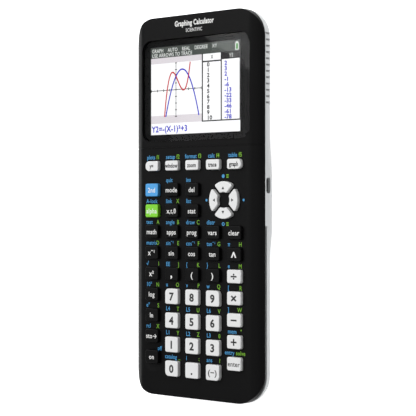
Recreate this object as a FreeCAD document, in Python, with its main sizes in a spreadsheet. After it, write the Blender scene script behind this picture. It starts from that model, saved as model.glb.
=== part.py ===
import FreeCAD, Part
import math
import os

import Sketcher

# Graphing calculator, lying on its back. Origin: the middle of the footprint, at the desk.
# +X to the right of the keypad, +Y towards the display, +Z out of the keys. Millimetres.

DOC = FreeCAD.newDocument("Calculator")
SHEET = DOC.addObject("Spreadsheet::Sheet", "Dims")


# ---------------------------------------------------------------- sizes and the sheet that holds them

class Size:
    """A number together with the sheet formula that gives it."""

    def __init__(self, value, text):
        self.value = float(value)
        self.text = text

    def combined(self, other, sign, value, swap=False):
        right = other if isinstance(other, Size) else Size(other, repr(other))
        pair = (right, self) if swap else (self, right)
        return Size(value(pair[0].value, pair[1].value), f"({pair[0].text} {sign} {pair[1].text})")

    def __add__(self, other):
        return self.combined(other, "+", lambda a, b: a + b)

    def __radd__(self, other):
        return self.combined(other, "+", lambda a, b: a + b, swap=True)

    def __sub__(self, other):
        return self.combined(other, "-", lambda a, b: a - b)

    def __rsub__(self, other):
        return self.combined(other, "-", lambda a, b: a - b, swap=True)

    def __mul__(self, other):
        return self.combined(other, "*", lambda a, b: a * b)

    def __rmul__(self, other):
        return self.combined(other, "*", lambda a, b: a * b, swap=True)

    def __truediv__(self, other):
        return self.combined(other, "/", lambda a, b: a / b)

    def __neg__(self):
        return 0 - self


ZERO = Size(0, "0")
DIM_COUNT = [0]


def dim(alias, value, note):
    """Write one driving dimension to the sheet and return it as a Size."""
    DIM_COUNT[0] += 1
    row = DIM_COUNT[0]
    SHEET.set(f"A{row}", note)
    SHEET.set(f"B{row}", str(value))
    SHEET.setAlias(f"B{row}", alias)
    return Size(value, f"Dims.{alias}")


def sized(value):
    """Turn a plain number into a Size."""
    return value if isinstance(value, Size) else Size(value, repr(value))


# Case
body_width = dim("body_width", 84.2, "overall width across both shells")
body_length = dim("body_length", 190.0, "overall length")
corner_radius = dim("corner_radius", 14.0, "plan corner radius")
front_height = dim("front_height", 4.2, "parting line up to the flat of the front")
rear_depth = dim("rear_depth", 7.95, "parting line down to the flat of the back")
hump_rise = dim("hump_rise", 1.5, "battery hump below the flat of the back")
hump_clear = dim("hump_clear", 0.3, "battery hump above the desk")
shell_wall = dim("shell_wall", 1.8, "wall of both shells")
back_round = dim("back_round", 6.8, "round between the back and the sides")
crown_run = dim("crown_run", 8.2, "run of the front's roll-off at each side")
crown_radius_top = dim("crown_radius_top", 7.2, "first arc of the front's roll-off")
crown_radius_side = dim("crown_radius_side", 20.0, "second arc of the front's roll-off")
crown_blend = dim("crown_blend", 2.7, "run of the first arc")
rim_round = dim("rim_round", 0.3, "round on the front's outer rim")
hump_top = dim("hump_top", 36.9, "where the hump's long ramp starts")
hump_full_top = dim("hump_full_top", 12.2, "where the hump is full, display side")
hump_full_low = dim("hump_full_low", -9.3, "where the hump is full, keypad side")
hump_low = dim("hump_low", -26.9, "where the hump's short ramp ends")

# Side details
grip_count = dim("grip_count", 12, "grip grooves a side")
grip_first = dim("grip_first", 82.4, "first grip groove")
grip_pitch = dim("grip_pitch", 3.0, "from groove to groove")
grip_width = dim("grip_width", 0.9, "width of a grip groove")
grip_depth = dim("grip_depth", 0.6, "depth of a grip groove")
grip_land = dim("grip_land", 0.5, "plain strip above the grooves")
rail_start = dim("rail_start", -9.7, "where the cover rail starts")
rail_height = dim("rail_height", 1.2, "height of the cover rail's groove")
rail_depth = dim("rail_depth", 0.8, "depth of the cover rail's groove")
line_place = dim("line_place", 29.3, "fine line across the front")
line_width = dim("line_width", 0.35, "width of the fine line")
line_depth = dim("line_depth", 0.3, "depth of the fine line")

# Display
window_width = dim("window_width", 71.4, "window recess, across")
window_length = dim("window_length", 51.2, "window recess, along")
window_place = dim("window_place", 58.1, "middle of the window")
window_radius = dim("window_radius", 6.0, "corner radius of the window")
window_recess = dim("window_recess", 1.2, "window surface below the flat")
window_thick = dim("window_thick", 1.0, "thickness of the window")
window_gap = dim("window_gap", 0.1, "gap round the window")
window_ledge = dim("window_ledge", 1.0, "ledge under the window")
window_frame = dim("window_frame", 1.6, "frame round the window recess, inside")
picture_width = dim("picture_width", 59.4, "lit area, across")
picture_length = dim("picture_length", 44.0, "lit area, along")
picture_margin = dim("picture_margin", 0.8, "opening beyond the lit area")
picture_shift = dim("picture_shift", -1.5, "middle of the lit area, across")
module_border = dim("module_border", 3.2, "display module beyond the lit area")
module_thick = dim("module_thick", 2.4, "thickness of the display module")
module_gap = dim("module_gap", 0.1, "ledge to display module")
module_corner = dim("module_corner", 0.6, "corner radius of the display module")
glass_border = dim("glass_border", 0.4, "raised glass beyond the lit area")
glass_gap = dim("glass_gap", 0.15, "raised glass to window")

# Keys
key_proud = dim("key_proud", 1.75, "key tops above the flat")
key_width = dim("key_width", 8.65, "width of a key")
key_corner = dim("key_corner", 1.0, "corner radius of a key")
key_corner_large = dim("key_corner_large", 2.2, "corner radius at the keypad's own corners")
key_edge = dim("key_edge", 0.35, "round on a key's top edge")
key_clear = dim("key_clear", 0.18, "gap between a key and its opening")
key_flange = dim("key_flange", 0.8, "flange beyond the key, under the front")
key_flange_thick = dim("key_flange_thick", 0.8, "thickness of the flange")
key_flange_gap = dim("key_flange_gap", 0.1, "flange below the front at rest")
key_travel = dim("key_travel", 0.9, "how far a key goes down")
column_pitch = dim("column_pitch", 13.65, "from column to column")
function_height = dim("function_height", 4.9, "height of a key in the top row")
function_place = dim("function_place", 20.26, "middle of the top row")
row_height = dim("row_height", 6.44, "height of an ordinary key")
row_place = dim("row_place", 8.17, "middle of the second row")
row_pitch = dim("row_pitch", 10.5, "from row to row")
digit_height = dim("digit_height", 7.64, "height of a number key")
digit_place = dim("digit_place", -44.94, "middle of the first row of numbers")
digit_pitch = dim("digit_pitch", 12.0, "from row to row of numbers")
ring_x = dim("ring_x", 20.5, "middle of the arrow ring, across")
ring_y = dim("ring_y", 2.9, "middle of the arrow ring, along")
ring_radius = dim("ring_radius", 9.1, "outside of the arrow keys")
ring_inner = dim("ring_inner", 3.9, "inner edge of an arrow key from the middle")
ring_gap = dim("ring_gap", 2.0, "gap between two arrow keys")
ring_corner = dim("ring_corner", 0.8, "corner radius of an arrow key")
ring_flange_gap = dim("ring_flange_gap", 1.2, "how much wider the gap is between their flanges")
dish_radius = dim("dish_radius", 7.6, "shallow dish round the on key")
dish_depth = dim("dish_depth", 0.5, "depth of that dish")

# Inside
mat_thick = dim("mat_thick", 0.8, "thickness of the key mat's sheet")
collar_height = dim("collar_height", 1.3, "collars above the sheet")
collar_radius = dim("collar_radius", 2.3, "outside of a collar")
plunger_radius = dim("plunger_radius", 1.3, "plunger under a key")
plunger_clear = dim("plunger_clear", 0.2, "plunger to collar")
plunger_gap = dim("plunger_gap", 0.2, "plunger above the sheet with the key down")
mat_border = dim("mat_border", 1.0, "mat beyond the collars")
board_drop = dim("board_drop", 1.4, "key mat's sheet below the parting line")
board_thick = dim("board_thick", 1.2, "thickness of the circuit board")
board_width = dim("board_width", 66.0, "width of the circuit board")
board_length = dim("board_length", 171.0, "length of the circuit board")
board_corner = dim("board_corner", 2.0, "corner radius of the circuit board")
chip_thick = dim("chip_thick", 1.0, "thickness of a chip")
chip_corner = dim("chip_corner", 0.4, "corner radius of a chip")
chip_near = dim("chip_near", 22.0, "nearer chips from the battery door")
chip_far = dim("chip_far", 44.0, "further chip from the battery door")
processor_side = dim("processor_side", 14.0, "side of the processor")
processor_x = dim("processor_x", -9.0, "processor, across")
memory_side = dim("memory_side", 10.0, "side of the memory chip")
memory_x = dim("memory_x", 12.0, "memory chip, across")
charger_side = dim("charger_side", 9.0, "side of the charging chip")
charger_x = dim("charger_x", 4.0, "charging chip, across")
battery_width = dim("battery_width", 50.0, "battery pack, across")
battery_length = dim("battery_length", 33.0, "battery pack, along")
battery_thick = dim("battery_thick", 3.4, "thickness of the battery pack")
battery_place = dim("battery_place", 3.0, "middle of the battery pack")
battery_clear = dim("battery_clear", 0.2, "battery pack below the board")
battery_corner = dim("battery_corner", 1.5, "corner radius of the battery pack")
door_width = dim("door_width", 58.0, "battery door, across")
door_top = dim("door_top", 25.0, "battery door's end, display side")
door_low = dim("door_low", -19.0, "battery door's end, keypad side")
door_gap = dim("door_gap", 0.15, "gap round the battery door")
door_corner = dim("door_corner", 3.0, "corner radius of the battery door")
door_screw_inset = dim("door_screw_inset", 4.0, "door screw from the door's end")
tongue_width = dim("tongue_width", 8.0, "width of a door tongue")
tongue_reach = dim("tongue_reach", 2.5, "tongue beyond the door")
tongue_thick = dim("tongue_thick", 0.9, "thickness of a door tongue")
tongue_gap = dim("tongue_gap", 0.35, "tongue above the rear shell's inside")
tongue_root = dim("tongue_root", 4.0, "root of a tongue, along")

# USB socket
usb_place = dim("usb_place", 9.8, "middle of the USB opening, along")
usb_below = dim("usb_below", 6.6, "middle of the USB opening below the flat")
usb_width = dim("usb_width", 7.6, "USB opening, along")
usb_height = dim("usb_height", 3.2, "USB opening, up")
usb_reach = dim("usb_reach", 9.2, "length of the USB socket")
usb_metal = dim("usb_metal", 0.3, "wall of the USB socket")
usb_set_back = dim("usb_set_back", 0.5, "USB socket behind the case wall")
usb_flat = dim("usb_flat", 0.5, "flat at each end of the USB opening")
usb_clear = dim("usb_clear", 0.1, "USB socket to the board's notch")
usb_back = dim("usb_back", 1.2, "wall at the back of the USB socket")
blade_width = dim("blade_width", 5.0, "contact blade in the USB socket, along")
blade_thick = dim("blade_thick", 0.8, "thickness of the contact blade")
blade_reach = dim("blade_reach", 7.2, "length of the contact blade")

# Fasteners and feet
screw_radius = dim("screw_radius", 1.0, "case screw's thread")
screw_head_radius = dim("screw_head_radius", 1.9, "case screw's head")
screw_head_height = dim("screw_head_height", 1.0, "height of the head")
screw_sink = dim("screw_sink", 0.5, "head below the back")
boss_radius = dim("boss_radius", 2.1, "screw boss")
boss_gap = dim("boss_gap", 0.1, "between the bosses of the two shells")
screw_clear = dim("screw_clear", 0.2, "screw to rear shell")
cross_width = dim("cross_width", 0.5, "cross recess, across an arm")
cross_length = dim("cross_length", 2.2, "cross recess, from end to end")
screw_bite = dim("screw_bite", 2.8, "thread in the front shell's boss")
end_screw_x = dim("end_screw_x", 28.0, "end screws, across")
end_screw_inset = dim("end_screw_inset", 6.2, "end screws from the ends")
side_screw_inset = dim("side_screw_inset", 6.9, "middle screws from the sides")
foot_radius = dim("foot_radius", 4.0, "radius of a foot")
foot_seat = dim("foot_seat", 0.5, "foot let into the back")
foot_x = dim("foot_x", 30.0, "feet, across")
foot_inset = dim("foot_inset", 20.0, "feet from the ends")
foot_edge = dim("foot_edge", 0.6, "chamfer of a foot")

plateau_width = body_width - 2 * crown_run

# Levels that follow from them
back_level = hump_clear + hump_rise
parting = back_level + rear_depth
plateau = parting + front_height
ceiling = plateau - shell_wall
key_top = plateau + key_proud
flange_top = ceiling - key_flange_gap
flange_bottom = flange_top - key_flange_thick
window_floor = plateau - window_recess - window_thick
ledge_bottom = window_floor - window_ledge
board_top = parting - board_drop - mat_thick
board_bottom = board_top - board_thick
plunger_bottom = board_top + mat_thick + plunger_gap + key_travel
CUT_OVER = 5.0
SINK = sized(0.3)


# ---------------------------------------------------------------- small makers

def bind(thing, prop, size):
    """Tie one property to the sheet."""
    thing.setExpression(prop, sized(size).text)


def place(thing, x=ZERO, y=ZERO, z=ZERO, turn=0.0, axis=(0, 0, 1)):
    """Put a piece where the sheet says, turned by so many degrees."""
    spin = FreeCAD.Rotation(FreeCAD.Vector(*axis), turn)
    thing.Placement = FreeCAD.Placement(FreeCAD.Vector(0, 0, 0), spin)
    for letter, size in (("x", x), ("y", y), ("z", z)):
        bind(thing, f"Placement.Base.{letter}", size)


def new_body(name):
    """Start a PartDesign body."""
    body = DOC.addObject("PartDesign::Body", name)
    body.Label = name
    return body


def plane_of(body, role):
    """The body's own origin plane of that role."""
    return next(item for item in body.Origin.OriginFeatures if item.Role == role)


def new_sketch(body, name, role="XY_Plane", level=ZERO):
    """Start a sketch on one of the body's own planes, raised to a level."""
    sketch = body.newObject("Sketcher::SketchObject", name)
    sketch.AttachmentSupport = [(plane_of(body, role), "")]
    sketch.MapMode = "FlatFace"
    bind(sketch, "AttachmentOffset.Base.z", level)
    return sketch


def driven(sketch, constraint, size):
    """Add a constraint whose value comes from the sheet."""
    index = sketch.addConstraint(constraint)
    sketch.setExpression(f"Constraints[{index}]", size.text)


def draw_rectangle(sketch, width, length):
    """A rectangle about the sketch's origin."""
    x, y = width.value / 2, length.value / 2
    corners = [FreeCAD.Vector(*p, 0) for p in ((-x, -y), (x, -y), (x, y), (-x, y))]
    for start, end in zip(corners, corners[1:] + corners[:1]):
        sketch.addGeometry(Part.LineSegment(start, end), False)
    for line in range(4):
        sketch.addConstraint(Sketcher.Constraint("Coincident", line, 2, (line + 1) % 4, 1))
    for line, kind in enumerate(("Horizontal", "Vertical", "Horizontal", "Vertical")):
        sketch.addConstraint(Sketcher.Constraint(kind, line))
    sketch.addConstraint(Sketcher.Constraint("Symmetric", 0, 1, 1, 2, -1, 1))
    driven(sketch, Sketcher.Constraint("Distance", 0, width.value), width)
    driven(sketch, Sketcher.Constraint("Distance", 1, length.value), length)


def draw_circle(sketch, radius):
    """A circle about the sketch's origin."""
    sketch.addGeometry(Part.Circle(FreeCAD.Vector(0, 0, 0), FreeCAD.Vector(0, 0, 1), radius.value), False)
    sketch.addConstraint(Sketcher.Constraint("Coincident", 0, 3, -1, 1))
    driven(sketch, Sketcher.Constraint("Radius", 0, radius.value), radius)


def pad(body, sketch, name, height, midplane=False):
    """Pad a sketch by a height."""
    feature = body.newObject("PartDesign::Pad", name)
    feature.Profile = sketch
    feature.Midplane = midplane
    feature.Refine = True
    bind(feature, "Length", height)
    sketch.Visibility = False
    return feature


def rounded(body, base, name, picks, radius, kind="PartDesign::Fillet", prop="Radius"):
    """Round (or chamfer) the picked edges of the base feature."""
    DOC.recompute()
    edges = [f"Edge{i + 1}" for i, edge in enumerate(base.Shape.Edges) if picks(edge)]
    feature = body.newObject(kind, name)
    feature.Base = (base, edges)
    bind(feature, prop, radius)
    return feature


def is_upright(edge):
    """True for a straight edge along Z."""
    return (isinstance(edge.Curve, Part.Line)
            and abs(edge.tangentAt(edge.FirstParameter).z) > 0.999)


def lies_at(edge, level):
    """True for an edge that lies wholly at one level."""
    box = edge.BoundBox
    return abs(box.ZMin - level) < 1e-4 and abs(box.ZMax - level) < 1e-4


def plate(name, width, length, bottom, top, corner=None, x=ZERO, y=ZERO):
    """A flat rectangular body, its upright corners rounded, at its place."""
    body = new_body(name)
    sketch = new_sketch(body, name + "_outline")
    draw_rectangle(sketch, sized(width), sized(length))
    tip = pad(body, sketch, name + "_pad", top - bottom)
    if corner is not None:
        tip = rounded(body, tip, name + "_corners", is_upright, corner)
    body.Tip = tip
    place(body, sized(x), sized(y), sized(bottom))
    return body


def cylinder(name, radius, bottom, top, x=ZERO, y=ZERO):
    """A Part cylinder, upright, at its place."""
    rod = DOC.addObject("Part::Cylinder", name)
    bind(rod, "Radius", radius)
    bind(rod, "Height", top - bottom)
    place(rod, sized(x), sized(y), sized(bottom))
    return rod


def box(name, width, length, bottom, top, x=ZERO, y=ZERO):
    """A Part box about a place in X and Y, between two levels."""
    block = DOC.addObject("Part::Box", name)
    width, length = sized(width), sized(length)
    for prop, size in (("Length", width), ("Width", length), ("Height", top - bottom)):
        bind(block, prop, size)
    place(block, sized(x) - width / 2, sized(y) - length / 2, sized(bottom))
    return block


def fuse(name, pieces):
    """One solid from several."""
    joined = DOC.addObject("Part::MultiFuse", name)
    joined.Shapes = pieces
    joined.Label = name
    return joined


def cut(name, base, tools):
    """The base less its tools."""
    tool = tools[0]
    if len(tools) > 1:
        tool = fuse(name + "_tools", tools)
    result = DOC.addObject("Part::Cut", name)
    result.Base = base
    result.Tool = tool
    result.Label = name
    return result


def common(name, first, second):
    """What two solids share."""
    shared = DOC.addObject("Part::Common", name)
    shared.Base = first
    shared.Tool = second
    shared.Label = name
    return shared


def group(name, pieces):
    """Separate solids that share one node."""
    compound = DOC.addObject("Part::Compound", name)
    compound.Links = pieces
    compound.Label = name
    return compound


# ---------------------------------------------------------------- front shell

def crown(name, inset, bottom):
    """The front's section, flat on top and rolled off at both sides, run along Y.

    The inset moves every face of the section inwards by the same amount.
    """
    width = body_width - 2 * inset
    top_arc, side_arc = crown_radius_top - inset, crown_radius_side - inset
    blend = crown_blend * top_arc / crown_radius_top
    level = plateau - inset
    body = new_body(name)
    sketch = new_sketch(body, name + "_section", "XZ_Plane")

    half, flat = width.value / 2, plateau_width.value / 2
    z_top, z_low = level.value, bottom.value
    r_top, r_side = top_arc.value, side_arc.value
    first = math.asin(blend.value / r_top)
    z_mid = z_top - r_top
    x_mid = flat + (r_top - r_side) * math.sin(first)
    z_side = z_mid + (r_top - r_side) * math.cos(first)
    last = math.asin((half - x_mid) / r_side)
    z_end = z_side + r_side * math.cos(last)
    up = math.pi / 2

    def arc(x, z, radius, start, end):
        circle = Part.Circle(FreeCAD.Vector(x, z, 0), FreeCAD.Vector(0, 0, 1), radius)
        sketch.addGeometry(Part.ArcOfCircle(circle, start, end), False)

    def line(x1, z1, x2, z2):
        sketch.addGeometry(Part.LineSegment(FreeCAD.Vector(x1, z1, 0), FreeCAD.Vector(x2, z2, 0)), False)

    line(flat, z_top, -flat, z_top)
    arc(flat, z_mid, r_top, up - first, up)
    arc(x_mid, z_side, r_side, up - last, up - first)
    line(half, z_low, half, z_end)
    line(-half, z_low, half, z_low)
    line(-half, z_end, -half, z_low)
    arc(-x_mid, z_side, r_side, up + first, up + last)
    arc(-flat, z_mid, r_top, up, up + first)
    top, arc_r, side_r, wall_r, base, wall_l, side_l, arc_l = range(8)
    for pair in ((top, 1, arc_r, 2), (arc_r, 1, side_r, 2), (top, 2, arc_l, 1), (arc_l, 2, side_l, 1)):
        sketch.addConstraint(Sketcher.Constraint("Tangent", *pair))
    for pair in ((side_r, 1, wall_r, 2), (wall_r, 1, base, 2), (base, 1, wall_l, 2), (wall_l, 1, side_l, 2)):
        sketch.addConstraint(Sketcher.Constraint("Coincident", *pair))
    for wall in (wall_r, wall_l):
        sketch.addConstraint(Sketcher.Constraint("Vertical", wall))
    for left, right in ((arc_r, arc_l), (side_r, side_l)):
        sketch.addConstraint(Sketcher.Constraint("Equal", left, right))
    for run in (top, base):
        sketch.addConstraint(Sketcher.Constraint("Symmetric", run, 1, run, 2, -2))
    driven(sketch, Sketcher.Constraint("Radius", arc_r, r_top), top_arc)
    driven(sketch, Sketcher.Constraint("Radius", side_r, r_side), side_arc)
    driven(sketch, Sketcher.Constraint("DistanceX", base, 1, base, 2, 2 * half), width)
    driven(sketch, Sketcher.Constraint("DistanceX", top, 2, top, 1, 2 * flat), plateau_width)
    driven(sketch, Sketcher.Constraint("DistanceY", -1, 1, top, 1, z_top), level)
    driven(sketch, Sketcher.Constraint("DistanceY", -1, 1, base, 1, z_low), bottom)
    driven(sketch, Sketcher.Constraint("DistanceX", top, 1, arc_r, 1, blend.value), blend)
    driven(sketch, Sketcher.Constraint("DistanceX", arc_l, 2, top, 2, blend.value), blend)
    body.Tip = pad(body, sketch, name + "_run", body_length + CUT_OVER, midplane=True)
    return body


def case_outline(name, inset, bottom, top):
    """The case's plan outline, moved inwards, between two levels."""
    return plate(name, body_width - 2 * inset, body_length - 2 * inset, bottom, top, corner_radius - inset)


def screw_places():
    """Middles of the six case screws."""
    end_y = body_length / 2 - end_screw_inset
    side_x = body_width / 2 - side_screw_inset
    side_y = (window_place - window_length / 2 + function_place + function_height / 2) / 2
    return [(end_screw_x, end_y), (-end_screw_x, end_y), (side_x, side_y), (-side_x, side_y),
            (end_screw_x, -end_y), (-end_screw_x, -end_y)]


def front_shell():
    """Rolled-off top, hollow underneath."""
    outer = common("front_block", crown("front_crown", ZERO, parting),
                   case_outline("front_outline", ZERO, parting, plateau + CUT_OVER))
    DOC.recompute()
    rim = DOC.addObject("Part::Fillet", "front_rim")
    rim.Base = outer
    limit = outer.Shape.BoundBox
    corner = corner_radius.value
    radius = rim_round.value
    edges = []
    for index, edge in enumerate(outer.Shape.Edges, start=1):
        middle = edge.valueAt((edge.FirstParameter + edge.LastParameter) / 2)
        on_side = abs(abs(middle.x) - limit.XMax) < 1e-3
        on_end = abs(abs(middle.y) - limit.YMax) < 1e-3
        reach_x = abs(middle.x) - (limit.XMax - corner)
        reach_y = abs(middle.y) - (limit.YMax - corner)
        on_corner = reach_x > 0 and reach_y > 0 and abs(math.hypot(reach_x, reach_y) - corner) < 1e-3
        if (on_side or on_end or on_corner) and edge.BoundBox.ZMin > parting.value + 0.1:
            edges.append((index, radius, radius))
    rim.Edges = edges
    hollow = common("front_hollow", crown("front_hollow_crown", shell_wall, parting - CUT_OVER),
                    case_outline("front_hollow_outline", shell_wall, parting - CUT_OVER, plateau))
    return cut("front_shell", rim, [hollow])


def key_opening(name, width, length, x, y, large):
    """The opening for one key."""
    return key_block("opening_" + name, width + 2 * key_clear, length + 2 * key_clear,
                     ledge_bottom, plateau + CUT_OVER, x, y, key_clear, large)[0]


def key_block(name, width, length, bottom, top, x, y, grow, large):
    """A rectangular block with a key's corners; large lists its (x, y) signs with the larger radius."""
    body = new_body(name)
    sketch = new_sketch(body, name + "_outline")
    draw_rectangle(sketch, width, length)
    tip = pad(body, sketch, name + "_pad", top - bottom)

    def corner_is_large(edge):
        middle = edge.CenterOfMass
        return (math.copysign(1, middle.x), math.copysign(1, middle.y)) in large

    tip = rounded(body, tip, name + "_corners",
                  lambda e: is_upright(e) and not corner_is_large(e), key_corner + grow)
    if large:
        tip = rounded(body, tip, name + "_large_corners",
                      lambda e: is_upright(e) and corner_is_large(e), key_corner_large + grow)
    body.Tip = tip
    place(body, x, y, bottom)
    return body, tip


def draw_wedge(sketch, radius, inner, gap):
    """One arrow key's outline, a quarter of a ring, about +Y."""
    ends = []
    for size in (radius, inner):
        r, slant = size.value, gap.value / math.sqrt(2)
        y = (slant + math.sqrt(2 * r * r - slant * slant)) / 2
        ends.append((FreeCAD.Vector(y - slant, y, 0), FreeCAD.Vector(slant - y, y, 0)))
        angle = math.atan2(y, y - slant)
        circle = Part.Circle(FreeCAD.Vector(0, 0, 0), FreeCAD.Vector(0, 0, 1), r)
        sketch.addGeometry(Part.ArcOfCircle(circle, angle, math.pi - angle), False)
    for start, end in zip(*ends):
        sketch.addGeometry(Part.LineSegment(start, end), False)
    outer, hub, right, left = range(4)
    for arc in (outer, hub):
        sketch.addConstraint(Sketcher.Constraint("Coincident", arc, 3, -1, 1))
    for pair in ((outer, 1, right, 1), (hub, 1, right, 2), (outer, 2, left, 1), (hub, 2, left, 2)):
        sketch.addConstraint(Sketcher.Constraint("Coincident", *pair))
    sketch.addConstraint(Sketcher.Constraint("Angle", right, math.radians(-135)))
    sketch.addConstraint(Sketcher.Constraint("Angle", left, math.radians(-45)))
    for side in (right, left):
        driven(sketch, Sketcher.Constraint("Distance", -1, 1, side, gap.value / 2), gap / 2)
    for arc, size in ((outer, radius), (hub, inner)):
        driven(sketch, Sketcher.Constraint("Radius", arc, size.value), size)


def wedge(name, grow, bottom, top, turn):
    """A block with an arrow key's outline, grown by a clearance, turned about the ring's middle."""
    body = new_body(name)
    sketch = new_sketch(body, name + "_outline")
    draw_wedge(sketch, ring_radius + grow, ring_inner - grow, ring_gap - 2 * grow)
    tip = pad(body, sketch, name + "_pad", top - bottom)
    tip = rounded(body, tip, name + "_corners", is_upright, ring_corner + grow)
    body.Tip = tip
    place(body, ring_x, ring_y, bottom, turn)
    return body, tip


def front_cover(keys):
    """The front shell with its window seat, screw bosses and all its openings."""
    seat = plate("window_seat", window_width + 2 * window_frame, window_length + 2 * window_frame,
                 ledge_bottom, ceiling + SINK, window_radius + window_frame, ZERO, window_place)
    bosses = [cylinder(f"front_boss_{i}", boss_radius, parting, ceiling + SINK, x, y)
              for i, (x, y) in enumerate(screw_places(), start=1)]
    solid = fuse("front_solid", [front_shell(), seat] + bosses)

    recess = plate("window_recess_tool", window_width, window_length, window_floor, plateau + CUT_OVER,
                   window_radius, ZERO, window_place)
    aperture = box("picture_aperture", picture_width + 2 * picture_margin,
                   picture_length + 2 * picture_margin, ledge_bottom - 1, plateau,
                   picture_shift, window_place)
    line_slab = box("line_slab", body_width + CUT_OVER, line_width, parting - 1, plateau + 1,
                    ZERO, line_place)
    line_core = crown("line_core", line_depth, parting - 2)
    line = cut("fine_line", line_slab, [line_core])
    dish_ball = (dish_radius * dish_radius + dish_depth * dish_depth) / (2 * dish_depth)
    dish = DOC.addObject("Part::Sphere", "dish")
    bind(dish, "Radius", dish_ball)
    on_key = next(key for key in keys if key["name"] == "key_on")
    place(dish, on_key["x"], on_key["y"], plateau + dish_ball - dish_depth)
    threads = [cylinder(f"thread_{i}", screw_radius, parting - 1, parting + screw_bite + SINK, x, y)
               for i, (x, y) in enumerate(screw_places(), start=1)]
    openings = [key["opening"] for key in keys]
    return cut("front_cover", solid, [recess, aperture, line, dish] + threads + openings)


# ---------------------------------------------------------------- rear shell

def draw_back(sketch, inset):
    """The back's outline seen from the side: flat, then an S-shaped ramp each side of the hump.

    The sketch's X is the part's Y, and its Y is the part's Z. Each ramp is two equal arcs.
    """
    end = body_length / 2 - inset
    level, low = back_level + inset, hump_clear + inset
    top = parting if inset.value == 0 else parting + CUT_OVER

    def line(y1, z1, y2, z2):
        ends = [FreeCAD.Vector(y.value, z.value, 0) for y, z in ((y1, z1), (y2, z2))]
        sketch.addGeometry(Part.LineSegment(*ends), False)

    def ramp(flat_end, full_end):
        """Two arcs between the flat of the back and the full hump; sign tells which way the ramp faces."""
        run = abs((full_end - flat_end).value)
        rise = hump_rise.value
        radius = (run * run + rise * rise) / (4 * rise)
        swing = math.asin(run / 2 / radius)
        up = math.pi / 2
        below = FreeCAD.Vector(flat_end.value, level.value - radius, 0)
        above = FreeCAD.Vector(full_end.value, low.value + radius, 0)
        axis = FreeCAD.Vector(0, 0, 1)
        if flat_end.value < full_end.value:
            arcs = ((below, up - swing, up), (above, 3 * up - swing, 3 * up))
        else:
            arcs = ((above, 3 * up, 3 * up + swing), (below, up, up + swing))
        for middle, start, stop in arcs:
            sketch.addGeometry(Part.ArcOfCircle(Part.Circle(middle, axis, radius), start, stop), False)

    line(-end, top, -end, level)
    line(-end, level, hump_low, level)
    ramp(hump_low, hump_full_low)
    line(hump_full_low, low, hump_full_top, low)
    ramp(hump_top, hump_full_top)
    line(hump_top, level, end, level)
    line(end, level, end, top)
    line(end, top, -end, top)
    low_end, low_flat, low_out, low_in, hump, top_in, top_out, top_flat, top_end, lid = range(10)
    for pair in ((low_flat, 2, low_out, 2), (low_out, 1, low_in, 1), (low_in, 2, hump, 1),
                 (hump, 2, top_in, 1), (top_in, 2, top_out, 2), (top_out, 1, top_flat, 1)):
        sketch.addConstraint(Sketcher.Constraint("Tangent", *pair))
    for pair in ((low_end, 2, low_flat, 1), (top_flat, 2, top_end, 1), (top_end, 2, lid, 1), (lid, 2, low_end, 1)):
        sketch.addConstraint(Sketcher.Constraint("Coincident", *pair))
    for pair in ((low_out, low_in), (top_in, top_out)):
        sketch.addConstraint(Sketcher.Constraint("Equal", *pair))
    for item in (low_flat, hump, top_flat, lid):
        sketch.addConstraint(Sketcher.Constraint("Horizontal", item))
    for item in (low_end, top_end):
        sketch.addConstraint(Sketcher.Constraint("Vertical", item))
    for item, point, size in ((low_flat, 1, -end), (low_flat, 2, hump_low), (hump, 1, hump_full_low),
                              (hump, 2, hump_full_top), (top_flat, 1, hump_top), (top_flat, 2, end)):
        driven(sketch, Sketcher.Constraint("DistanceX", -1, 1, item, point, size.value), size)
    for item, point, size in ((low_flat, 1, level), (hump, 1, low), (top_flat, 2, level), (lid, 1, top)):
        driven(sketch, Sketcher.Constraint("DistanceY", -1, 1, item, point, size.value), size)


def tray(name, inset):
    """The rear shell's outside (inset 0) or its hollow (inset by the wall)."""
    body = new_body(name)
    sketch = new_sketch(body, name + "_side", "YZ_Plane")
    draw_back(sketch, inset)
    tip = pad(body, sketch, name + "_run", body_width - 2 * inset, midplane=True)
    tip = rounded(body, tip, name + "_corners", is_upright, corner_radius - inset)

    def is_back_rim(edge):
        middle = edge.valueAt((edge.FirstParameter + edge.LastParameter) / 2)
        across_the_back = (isinstance(edge.Curve, Part.Line)
                           and abs(edge.tangentAt(edge.FirstParameter).x) > 0.999
                           and abs(middle.y) < body_length.value / 2 - corner_radius.value)
        return edge.BoundBox.ZMax < parting.value - 1 and not is_upright(edge) and not across_the_back

    tip = rounded(body, tip, name + "_round", is_back_rim, back_round - inset)
    body.Tip = tip
    return body, tip


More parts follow.
